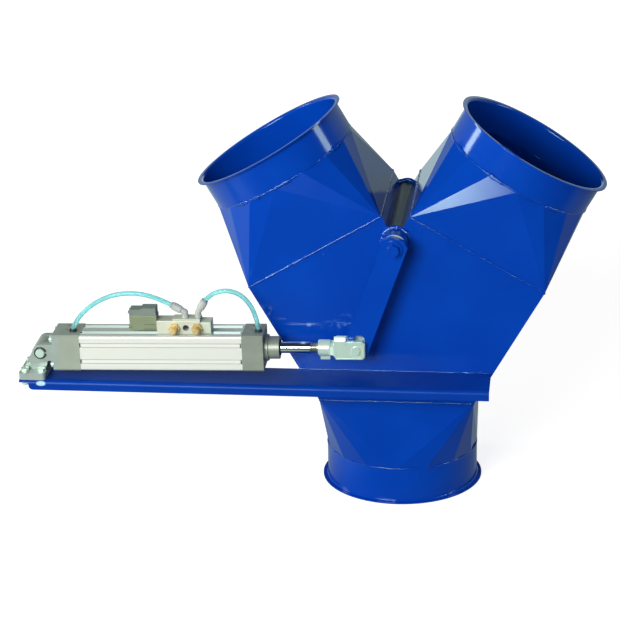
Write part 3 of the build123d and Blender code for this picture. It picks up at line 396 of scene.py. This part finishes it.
enamel = blue_enamel("blue_enamel")
tube_enamel = blue_enamel("tube_enamel", [crotch_shade], specular=0.25)
plate_enamel = blue_enamel("plate_enamel", [scuffs])
# The bracket's enamel is the body's blue scaled to 0.8: painted shade on the same paint.
bracket_enamel = blue_enamel("bracket_enamel", [painted_glint_spot], gloss=0.3, specular=0.16, shade=0.8)
weld_enamel = blue_enamel("weld_enamel", ripple=1.4, gloss=0.07, specular=1.0)
bolt_enamel = blue_enamel("bolt_enamel", ripple=0.5, gloss=0.08, specular=1.0)

# %% [markdown]
# ## Metals
#
# The cylinder's caps are die-cast and painted grey, the barrel is an extrusion with a fine grain along
# its length, the rod is hard chrome, and the small steel parts are zinc plated. They share one recipe:
# a base colour, a grain that is noise drawn out along one axis, and a roughness that follows it.

# %% Metal finishes


def metal(name, colour, roughness, metallic=1.0, grain=0.0, along=(1.0, 1.0, 1.0), scale=300.0,
          stain=0.12):
    """A metal whose grain, this many mm deep, is noise stretched along the axis with the least factor."""
    finish = Finish(name)
    darker = tuple(part * (1 - stain) for part in colour)
    tone = finish.mix(finish.noise(35.0, 4.0).step(0.3, 0.75), darker, colour)
    lines = finish.noise(scale, 3.0, 0.6, where=finish.stretched(along))
    return finish.set(Base_Color=tone, Metallic=metallic, Normal=finish.bump(lines, grain * MM, 0.6),
                      Roughness=lines * 0.12 + (roughness - 0.06))


cast_paint = metal("cast_grey", (0.42, 0.48, 0.39), 0.42, metallic=0.35, grain=0.05, scale=900.0)
# The front cap takes a darker copy of the same grey paint: painted shade.
cast_paint_shaded_copy = metal("cast_grey_front", (0.33, 0.38, 0.31), 0.42, metallic=0.35, grain=0.05,
                          scale=900.0)
cast_iron = metal("cast_iron_grey", (0.40, 0.48, 0.43), 0.42, metallic=0.3, grain=0.08, scale=900.0)
valve_metal = metal("valve_aluminium", (0.66, 0.70, 0.56), 0.45, metallic=0.2, grain=0.04, scale=1500.0,
                    stain=0.06)
chrome = metal("hard_chrome", (0.78, 0.84, 0.84), 0.14, grain=0.002, along=(1.0, 0.1, 0.1), scale=900.0,
               stain=0.03)
zinc = metal("zinc_plate", (0.72, 0.96, 0.83), 0.24, metallic=0.42, grain=0.01, scale=600.0, stain=0.08)
yellow_zinc = metal("yellow_zinc", (0.42, 0.38, 0.22), 0.35, metallic=0.85, grain=0.02, scale=600.0,
                    stain=0.2)
steel = metal("mill_steel", (0.30, 0.30, 0.30), 0.4, grain=0.03, scale=500.0, stain=0.25)
dark_steel = metal("spring_steel", (0.09, 0.09, 0.085), 0.4, metallic=0.7, grain=0.02, scale=600.0)
sintered_brass = metal("sintered_brass", (0.88, 0.67, 0.28), 0.45, metallic=0.5, grain=0.25, scale=1300.0,
                       stain=0.35)
bronze = metal("bush_bronze", (0.50, 0.31, 0.13), 0.35, grain=0.02, scale=700.0, stain=0.15)

# %% [markdown]
# ## Plastics and rubber
#
# The fittings are light grey nylon, the solenoid's parts are moulded in an olive and a mid grey, and the
# seals are black rubber. A moulded surface has a fine spark-eroded texture and a soft gloss.

# %% Plastic finishes


def plastic(name, colour, roughness=0.4, grain=0.03, scale=2200.0):
    """A moulded plastic."""
    finish = Finish(name)
    faded = tuple(part * 0.9 for part in colour)
    texture = finish.noise(scale, 2.0)
    return finish.set(Base_Color=finish.mix(finish.noise(60.0, 3.0).step(0.3, 0.7), faded, colour),
                      Roughness=texture * 0.12 + (roughness - 0.06),
                      Normal=finish.bump(texture, grain * MM, 0.5))


light_plastic = plastic("light_grey_nylon", (0.50, 0.54, 0.50), 0.35)
coil_plastic = plastic("coil_grey", (0.19, 0.24, 0.21), 0.45)
olive_plastic = plastic("pilot_olive", (0.225, 0.275, 0.16), 0.42)
cover_plastic = plastic("cover_grey", (0.58, 0.66, 0.51), 0.4)
grey_plastic = plastic("collar_grey", (0.34, 0.37, 0.36), 0.35)
dark_plastic = plastic("ring_black", (0.030, 0.045, 0.060), 0.3)
rubber = plastic("seal_rubber", (0.018, 0.018, 0.018), 0.65, grain=0.08, scale=900.0)

# %% [markdown]
# The barrel is a pale anodised extrusion with two slots in each face, closed by white strips. Off the
# top, a dark line along both edges of a strip is painted shadow of its slot. On top a strip's face dips a
# little towards the back, so it mirrors the white backdrop, and there its colour is also painted white,
# a painted reflection; the lands between the strips are painted darker, a painted reflection of the dark
# ceiling. The masks follow the cylinder's own frame, worked out from its pivot and its tilt.

# %% Barrel and strip finishes
along_x = (0.03, 1.0, 1.0)
groove_offset = 15.0
strip_half = 3.9
barrel_half = 32.5
barrel_white = (0.84, 0.88, 0.79)
strip_white = (0.92, 0.94, 0.88)
painted_reflection_white = (1.0, 1.0, 1.0)
top_painted_dark = (0.46, 0.51, 0.48)
slot_shadow = (0.20, 0.21, 0.19)


def barrel_masks(finish):
    """The distance from the middle of the nearest strip, and a mask of the top face."""
    height = finish.axis("Z") - pivot.z * MM - (finish.axis("X") - pivot.x * MM) * tan(tilt)
    side = finish.axis("Y") - pivot.y * MM
    from_height = (height.size() - groove_offset * MM).size()
    from_side = (side.size() - groove_offset * MM).size()
    return from_height.or_less(from_side), height.step((barrel_half - 1.5) * MM, (barrel_half - 1) * MM)


def extrusion_finish(name, colour, bright_half):
    """The extrusion's metal, which shines towards the back within bright_half of a strip's middle."""
    finish = Finish(name)
    distance, top = barrel_masks(finish)
    shine = top * (1 - distance.step((bright_half - 1) * MM, (bright_half + 1) * MM))
    on_line = distance.step((strip_half - 1.3) * MM, (strip_half - 0.7) * MM)
    line = on_line - distance.step((strip_half + 0.1) * MM, (strip_half + 0.4) * MM)
    grain = finish.noise(1400.0, 3.0, 0.6, where=finish.stretched(along_x))
    # Painted reflection: on top the lands are painted darker and the shining strips painted white; off the top a
    # painted shadow darkens a line along each strip's edges.
    land = finish.mix(top * 0.7, colour, top_painted_dark)
    tone = finish.mix(shine, land, painted_reflection_white)
    tone = finish.mix(line * 0.6 * (1 - top), tone, slot_shadow)
    lean = finish.node("CombineXYZ", sockets={"Y": shine * 0.10})
    leaning = finish.node("VectorMath", {"operation": "ADD"},
                          {0: finish.node("NewGeometry", output="Normal"), 1: lean})
    normal = finish.node("VectorMath", {"operation": "NORMALIZE"}, {0: leaning})
    return finish.set(Base_Color=tone, Roughness=grain * 0.1 + 0.27 - shine * 0.18,
                      Metallic=shine * 0.75 + 0.25, Normal=finish.bump(grain, 0.02 * MM, 0.5, under=normal))


extrusion = extrusion_finish("anodised_extrusion", barrel_white, 6.6)
strip_plastic = extrusion_finish("strip_white", strip_white, 8.0)

# %% [markdown]
# The air tube is clear polyurethane with a blue dye. Light goes into it, so most of its shader
# transmits: in front of the white floor it looks pale, and over a dark cap it turns a deeper blue.

# %% Tube finish


def clear_blue():
    """The dyed polyurethane, a little cloudy."""
    finish = Finish("blue_polyurethane")
    cloud = finish.noise(40.0, 2.0)
    tint = finish.mix(cloud.step(0.3, 0.7), (0.26, 0.66, 0.69), (0.32, 0.72, 0.74))
    return finish.set(Base_Color=tint, Roughness=cloud * 0.04 + 0.12, Transmission_Weight=0.55, IOR=1.4)


tube_finish = clear_blue()
for tube in tubes:
    tube.data.materials.append(tube_finish)

# %% [markdown]
# ## Giving each solid its finish
#
# A table from finish to nodes is the quickest way to dress sixty pieces, and it shows at a glance what
# was forgotten.

# %% Assign the finishes
dress = {
    enamel: ["outlet_collar", "outlet_transition", "rear_plate", "inlet_transition_left",
             "inlet_transition_right", "inlet_collar_left", "inlet_collar_right", "side_plate_left",
             "side_plate_right", "crotch_plate_left", "crotch_plate_right", "lever_spacer", "lever"],
    bolt_enamel: ["lever_washer", "lever_bolt"],
    tube_enamel: ["shaft_tube"],
    plate_enamel: ["front_plate"],
    bracket_enamel: ["cylinder_bracket"],
    bronze: ["bush_rear"],
    cast_iron: ["pivot_block", "rear_clevis"],
    cast_paint: ["rear_cap"],
    cast_paint_shaded_copy: ["front_cap"],
    zinc: ["pivot_block_bolts", "pivot_block_washers", "pivot_block_nuts", "flap_bolts", "flap_nuts",
           "shaft_washer", "clevis_bolts", "clevis_pin", "fork_head", "fork_clip", "bush_front"],
    steel: ["flap_shaft", "flap_plate_left", "flap_plate_right", "shaft_circlip", "pilot_screws",
            "cap_bolts"],
    dark_steel: ["clevis_pin_rings", "cushion_screws"],
    rubber: ["flap_rubber", "rod_wiper", "piston_seal"],
    extrusion: ["barrel", "piston"],
    strip_plastic: ["groove_strips"],
    valve_metal: ["valve_body"],
    cover_plastic: ["valve_end_cover"],
    olive_plastic: ["pilot_block"],
    coil_plastic: ["coil_housing"],
    sintered_brass: ["silencers"],
    light_plastic: ["elbow_left", "elbow_right"],
    grey_plastic: ["elbow_collars"],
    dark_plastic: ["port_fittings"],
    chrome: ["piston_rod"],
}
for material, names in dress.items():
    for name in names:
        nodes[name].data.materials.clear()
        nodes[name].data.materials.append(material)
dressed = {name for names in dress.values() for name in names}
print("not dressed", sorted(set(nodes) - dressed))

# %% [markdown]
# ## Weld beads
#
# The sheets are joined by hand: each bead is a row of small overlapping pools, a little uneven in width
# and height. A swept tube whose height swells once for each pool makes them, and noise along the path
# makes them uneven. Sinking the tube's lower half in the sheet leaves only the crown to see.

# %% Weld bead maker


def make_piece(name, verts, faces, material, body, smooth=True):
    """A mesh piece that rides on a body and takes one material."""
    mesh = bpy.data.meshes.new(name)
    mesh.from_pydata([tuple(vert) for vert in verts], [], faces)
    mesh.materials.append(material)
    if smooth:
        mesh.shade_smooth()
    mesh.update()
    piece = bpy.data.objects.new(name, mesh)
    scene.collection.objects.link(piece)
    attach(piece, body)
    return piece


def straight(start, end, spacing=1.2):
    """Points along a straight line, in the valve's frame."""
    count = max(2, int((end - start).length / (spacing * MM)))
    return [start.lerp(end, step / count) for step in range(count + 1)]


def weld(name, path, outward, width=4.6, height=1.5, closed=False, pool=3.4):
    """A bead of overlapping pools along a path. outward gives the way it stands proud at each point.

    Its height swells once for each pool, its size wanders with a soft noise, and its open ends taper."""
    sides = 8
    least_height, swelling = 0.72, 0.28
    wander, wander_scale = 0.5, 90
    end_size, growth = 0.4, 0.25
    verts, faces = [], []
    travelled = 0.0
    count = len(path)
    for index, point in enumerate(path):
        ahead = path[(index + 1) % count] if closed or index + 1 < count else point
        behind = path[index - 1] if closed or index else point
        out = outward(point).normalized()
        across = (ahead - behind).cross(out).normalized()
        travelled += (point - path[index - 1]).length / MM if index else 0
        swell = least_height + swelling * sin(pi * (travelled / pool % 1))
        uneven = 1 + wander * noise.noise(point * wander_scale)
        taper = 1.0 if closed else min(1, end_size + growth * min(index, count - 1 - index))
        for side in range(sides):
            turn = 2 * pi * side / sides
            spread = cos(turn) * width / 2 * uneven * taper
            rise = sin(turn) * height * swell * uneven * taper
            verts.append(point + (across * spread + out * rise) * MM)
    for row in range(count if closed else count - 1):
        after = (row + 1) % count
        for side in range(sides):
            beside = (side + 1) % sides
            faces.append((row * sides + side, row * sides + beside, after * sides + beside,
                          after * sides + side))
    if not closed:
        faces.append(tuple(reversed(range(sides))))
        faces.append(tuple(range((count - 1) * sides, count * sides)))
    return make_piece(name, verts, faces, weld_enamel, "housing")


# %% [markdown]
# The seams are the square ones where each leg's folded piece meets the Y-shaped plates, the one under
# the box, and the round ones where the collars are welded on. Each is a closed loop.

# %% Seams of the legs, the box and the collars
bead_step = 1.2
collar_seam = 133.0
outlet_seam_height = 65.0
across_x = Vector((1, 0, 0))
across_y = Vector((0, 1, 0))
across_z = Vector((0, 0, 1))


def loop(corners):
    """A closed path of straight runs through corners."""
    path = []
    for first, second in zip(corners, corners[1:] + corners[:1]):
        path += straight(first, second, bead_step)[:-1]
    return path


def ring(middle, radius, first_axis, second_axis, start=0, end=360):
    """A round path about a middle point, from one angle to another in degrees."""
    count = int(radians(end - start) * radius / bead_step)
    turns = [radians(start + (end - start) * step / count) for step in range(count)]
    return [middle + (first_axis * cos(turn) + second_axis * sin(turn)) * radius * MM for turn in turns]


def leg_across(side):
    """The way across a leg, away from the crotch."""
    return (on_leg(side, 1, 0, 0) - on_leg(side, 0, 0, 0)).normalized()


def away_from(middle):
    """Gives the way from a middle point to the point of a path."""
    return lambda point: point - middle


def weld_collar(name, side, start=0, end=360, **size):
    """A bead on the seam of a leg's collar, or on a stretch of it."""
    middle = on_leg(side, 0, 0, collar_seam)
    weld(name, ring(middle, duct_radius, leg_across(side), across_y, start, end), away_from(middle), **size)


def square_out(middle, first_axis, first_half, second_axis, second_half):
    """Gives the way out of the face of a square on which a point lies."""
    def way(point):
        """The way out at one point of the square."""
        first = (point - middle).dot(first_axis) / first_half
        second = (point - middle).dot(second_axis) / second_half
        if abs(first) > abs(second):
            return first_axis * (1 if first > 0 else -1)
        return second_axis * (1 if second > 0 else -1)
    return way


def weld_square(name, middle, first_axis, first_half, second_axis, second_half, **size):
    """A bead round a square seam."""
    corners = [middle + (first_axis * one * first_half + second_axis * other * second_half) * MM
               for one, other in ((-1, -1), (1, -1), (1, 1), (-1, 1))]
    way = square_out(middle, first_axis, first_half, second_axis, second_half)
    return weld(name, loop(corners), way, closed=True, **size)


side_names = {-1: "left", 1: "right"}
for side, name in side_names.items():
    weld_square("weld_leg_" + name, on_leg(side, 0, 0, 0), leg_across(side), leg_width / 2, across_y,
                half_depth)
    weld_collar("weld_collar_" + name, side, width=3.8, height=1.0, closed=True)
weld_square("weld_box_foot", at(0, 0, box_bottom), across_x, foot_half, across_y, half_depth,
            width=4.0, height=1.0)

# Where the torch stopped and started again, a collar's bead is thicker. These are stretches of it, as
# turns about the leg in degrees.
thick_stretches = {-1: ((209, 219), (256, 272), (283, 289), (294, 303)),
                   1: ((210, 221), (242, 259), (294, 308))}
for side, stretches in thick_stretches.items():
    for start, end in stretches:
        weld_collar(f"weld_restart_{side_names[side]}_{start}", side, start, end, width=7.5, height=3.0,
                    pool=4.2)

outlet_middle = at(0, 0, outlet_seam_height)
weld("weld_outlet", ring(outlet_middle, duct_radius, across_x, across_y), away_from(outlet_middle),
     width=3.6, height=0.9, closed=True)

# %% [markdown]
# The bearing tube is welded all round to the front and rear plates with a fat fillet: here the bead
# stands out at 45 degrees between the tube and the plate. The bracket's bead runs along its top, on the
# front plate. One collar's lip has a lumpy joint where the ends of the rolled lip were welded together.

# %% Fillets round the bearing tube, along the bracket and on the lip
tube_radius = 23.0
tube_fillet = {"width": 8.0, "height": 4.2, "pool": 4.6}
for side, name in ((-1, "front"), (1, "rear")):
    centre = at(0, side * half_depth, crotch_z)
    weld("weld_bearing_" + name, ring(centre, tube_radius + 1, across_x, across_z),
         lambda point, centre=centre, side=side: (point - centre).normalized() + across_y * side,
         closed=True, **tube_fillet)

bracket_start = -foot_half - (bracket_corner.z - box_bottom) * tan(leg)
weld("weld_bracket", straight(at(bracket_start, -half_depth, bracket_corner.z),
                              at(bracket_corner.x - 2, -half_depth, bracket_corner.z)),
     lambda point: across_z - across_y, width=4.0, height=1.6)

lip_width = 7.0
lip_radius = duct_radius + lip_width
lip_middle = Vector(mounts["lip_right"]["pos_m"])
lip_across = Vector((leg_way.z, 0, -leg_way.x))
weld("weld_lip_joint", ring(lip_middle, lip_radius, lip_across, across_y, 243, 261),
     lambda point: (point - lip_middle).normalized() + leg_way, width=5.0, height=1.3, pool=7.0)

# %% [markdown]
# ## Weld spatter
#
# Hot metal that flew from the torch froze on the sheet and was painted over. Each drop is a low dome.
# A few lie where the photograph shows them, and the rest are scattered close to the front seams.

# %% Spatter
random.seed(11)
seen_drops = [(-164, 263, 1.8), (-159, 266, 1.2), (-168, 268, 1.4), (151, 259, 1.6), (168, 259, 1.6),
              (-96, 339, 1.3), (-88, 342, 1.1), (-112, 345, 1.2)]
drops_by_a_seam = 12
dome_height = 0.7
drops = [(at(x, -half_depth, z), -across_y, radius) for x, z, radius in seen_drops]
for side in (-1, 1):
    for _ in range(drops_by_a_seam):
        spot = on_leg(side, random.uniform(-0.48, 0.48) * leg_width, -half_depth, random.uniform(-16, -5))
        drops.append((spot, -across_y, random.uniform(0.6, 1.2)))


def dome(middle, out, radius, sides=8, rows=3):
    """The points and faces of a low dome that stands on a surface."""
    first = out.orthogonal().normalized()
    second = out.cross(first)
    points = [middle + out * radius * dome_height * MM]
    for row in range(1, rows + 1):
        rise = radians(90 * row / rows)
        for side in range(sides):
            turn = 2 * pi * side / sides
            flat = (first * cos(turn) + second * sin(turn)) * sin(rise)
            points.append(middle + (flat + out * dome_height * cos(rise)) * radius * MM)
    shells = [(0, 1 + side, 1 + (side + 1) % sides) for side in range(sides)]
    for row in range(rows - 1):
        for side in range(sides):
            here, beside = 1 + row * sides + side, 1 + row * sides + (side + 1) % sides
            shells.append((here, here + sides, beside + sides, beside))
    shells.append(tuple(1 + (rows - 1) * sides + side for side in reversed(range(sides))))
    return points, shells


def domes(name, places, material, body):
    """Many domes as one piece."""
    verts, faces = [], []
    for middle, out, radius in places:
        points, shells = dome(middle, out, radius)
        faces += [tuple(len(verts) + corner for corner in shell) for shell in shells]
        verts += points
    return make_piece(name, verts, faces, material, body)


domes("weld_spatter", drops, weld_enamel, "housing")
print("drops of spatter", len(drops))

# %% [markdown]
# ## The rod's thread and the port's
#
# The fork is screwed on the rod, and a short stretch of its fine thread shows before it. The solid has
# a plain cylinder there. A ridge of triangular section, wound round it as a helix, gives the thread.
# The same ridge, turned inwards, threads the valve's open supply port, and a dark dome at its bottom
# is painted shade.

# %% Threads
rod_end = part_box("fork_head")[0].x / MM
thread_shown = 14.5
rod_thread_radius = 8.0
rod_thread_pitch = 1.5


def thread(name, start, way, length, radius, pitch, height, material, body):
    """A helical ridge round an axis. Its height is below 0 where it stands inwards, in a bore."""
    steps = 36
    first = way.orthogonal().normalized()
    second = way.cross(first)
    half_ridge, root = 0.45, -0.2 * height
    profile = ((-half_ridge, root), (0, height), (half_ridge, root))
    verts, faces = [], []
    for step in range(int(length / pitch * steps)):
        turn = 2 * pi * step / steps
        out = first * cos(turn) + second * sin(turn)
        for share, rise in profile:
            verts.append(start + (way * pitch * (step / steps + share) + out * (radius + rise)) * MM)
    last = len(verts) - 3
    for here in range(0, last, 3):
        for corner in range(3):
            beside = (corner + 1) % 3
            faces.append((here + corner, here + beside, here + 3 + beside, here + 3 + corner))
    faces.append((2, 1, 0))
    faces.append((last, last + 1, last + 2))
    return make_piece(name, verts, faces, material, body, smooth=False)


fork_start = (rod_end - pivot.x) / cos(tilt)
thread("rod_thread", on_cylinder(fork_start - thread_shown + 1.2, 0, 0), rod_way, thread_shown - 2,
       rod_thread_radius, rod_thread_pitch, 0.35, yellow_zinc, "rod")

port_radius = 5.5
port_depth = 10.0
port_chamfer = 1.5
port_thread_pitch = 1.3
port_mouth = Vector(mounts["air_supply"]["pos_m"])
thread("supply_thread", port_mouth + across_y * port_chamfer * MM, across_y, port_depth - 2 * port_chamfer,
       port_radius, port_thread_pitch, -0.6, steel, "cylinder")
# A dark dome at the bottom of the port is painted shade.
domes("supply_passage", [(port_mouth + across_y * port_depth / 2 * MM, -across_y, port_radius - 0.6)],
      dark_plastic, "cylinder")
print("the fork starts", round(fork_start, 1), "mm from the rear pin")

# %% [markdown]
# ## Floor, backdrop and light
#
# The photograph is a studio shot on white. One large soft lamp stands left of the camera: it gives the
# level, the shadow beside the lever and the one white facet on the right leg. A wide weak one further
# left lightens what faces that way. Two narrow lamps far out at the sides give the streaks on the
# collars, and a weak one behind keeps the back readable.
# The floor and the air behind it are white. The paint is dark and glossy, so it matters what it
# reflects: the white backdrop ends a little above the horizon, and the room in front of it is dark.
# In the paint's mirror the floor is dimmer than the backdrop, and both have a slight green cast.
# An edge is a pair of numbers, from where a mask starts to where it is full: metres on the floor, and
# parts of a unit direction in the air.

# %% Floor
dim = 0.03
floor_shine = 0.32
near_shine = 0.45
floor_pale = 0.45
left_edge = (-0.30, -0.10)
rear_edge = (-0.25, 0.0)
front_edge = (-1.5, -0.75)
near_edge = (-0.9, -0.6)
glow_edge = (1.0, 2.5)
mirror_tint = (0.78, 1.0, 0.92)
floor_finish = Finish("floor_white")
seen, mirrored, through = floor_finish.rays()
floor_x, floor_y = floor_finish.axis("X"), floor_finish.axis("Y")
left_part = 1 - floor_x.step(*left_edge)
shining = floor_y.step(*rear_edge).or_more(left_part * floor_y.step(*front_edge))
white_paper = shining * (floor_shine - dim) + dim + left_part * floor_y.step(*near_edge) * near_shine
centre_distance = floor_finish.node("VectorMath", {"operation": "LENGTH"}, {0: floor_finish.place()},
                                    output="Value")
glow = centre_distance.step(*glow_edge) * 0.2 + 0.8
level = (seen + through + mirrored * white_paper) * glow
tinted = floor_finish.node("VectorMath", {"operation": "SCALE"}, {0: mirror_tint, "Scale": level})
floor_finish.set(Base_Color=(1 - mirrored) * floor_pale, Roughness=0.9, Specular_IOR_Level=0.0,
                 Emission_Strength=1.0, Emission_Color=floor_finish.mix(mirrored, level, tinted))

floor_half = 9.0
floor_height = -0.5 * MM
floor_mesh = bpy.data.meshes.new("floor")
floor_corners = [(-floor_half, -floor_half), (floor_half, -floor_half), (floor_half, floor_half),
                 (-floor_half, floor_half)]
floor_mesh.from_pydata([(x, y, floor_height) for x, y in floor_corners], [], [(0, 1, 2, 3)])
floor_mesh.materials.append(floor_finish.material)
floor = bpy.data.objects.new("floor", floor_mesh)
scene.collection.objects.link(floor)

# %% World
ambient = 0.11
horizon_edge = (-0.1, 0.3)
top_edge = (0.27, 0.33)
side_edge = (0.16, 0.26)
side_loss = 0.55
world = bpy.data.worlds.new("studio")
world.use_nodes = True
scene.world = world
sky = Wiring(world.node_tree)
seen, mirrored, through = sky.rays()
direction = sky.node("TexCoord", output="Generated")
behind = sky.axis("Y", direction).step(*horizon_edge)
low_enough = 1 - sky.axis("Z", direction).step(*top_edge)
backdrop = behind * low_enough * (1 - sky.axis("X", direction).size().step(*side_edge) * side_loss)
shown = seen + through + mirrored * (backdrop * (1 - dim) + dim)
strength = shown + (1 - seen - through - mirrored) * ambient
background = world.node_tree.nodes["Background"]
sky.feed(background.inputs["Color"], sky.mix(mirrored, (1, 1, 1), mirror_tint))
sky.feed(background.inputs["Strength"], strength)

# %% Lamps
aim = at(-100, 0, 350)


def lamp(name, azimuth, elevation, distance, width, height, radiance, in_mirror=True):
    """A rectangular lamp in a direction seen from the object. Azimuth 0 is on the camera's side.

    Its angles of width and height are in degrees, and its radiance is in units of white paper. One that
    isn't in the mirror lights what it reaches without showing in the paint."""
    turn, rise = radians(azimuth), radians(elevation)
    way = Vector((sin(turn) * cos(rise), -cos(turn) * cos(rise), sin(rise)))
    data = bpy.data.lights.new(name, "AREA")
    data.shape = "RECTANGLE"
    data.size = 2 * distance * tan(radians(width / 2))
    data.size_y = 2 * distance * tan(radians(height / 2))
    data.energy = radiance * pi * data.size * data.size_y
    made = bpy.data.objects.new(name, data)
    made.location = aim + way * distance
    made.rotation_mode = "QUATERNION"
    made.rotation_quaternion = way.to_track_quat("Z", "Y")
    made.visible_camera = False
    made.visible_glossy = in_mirror
    scene.collection.objects.link(made)
    level = radiance * data.size * data.size_y / distance ** 2 / pi
    print(name, "lights a facing surface to", round(level, 2))


lamp("key_lamp", -19, 20.5, 5.0, 26, 20, 18.0)
lamp("left_fill", -72, 26, 3.5, 44, 34, 1.9, in_mirror=False)
lamp("left_lamp", -94, 22, 2.8, 11, 14, 12.0)
lamp("right_lamp", 86, 18, 2.8, 11, 20, 8.0)
lamp("back_lamp", 136, 12, 4.0, 20, 20, 4.0, in_mirror=False)
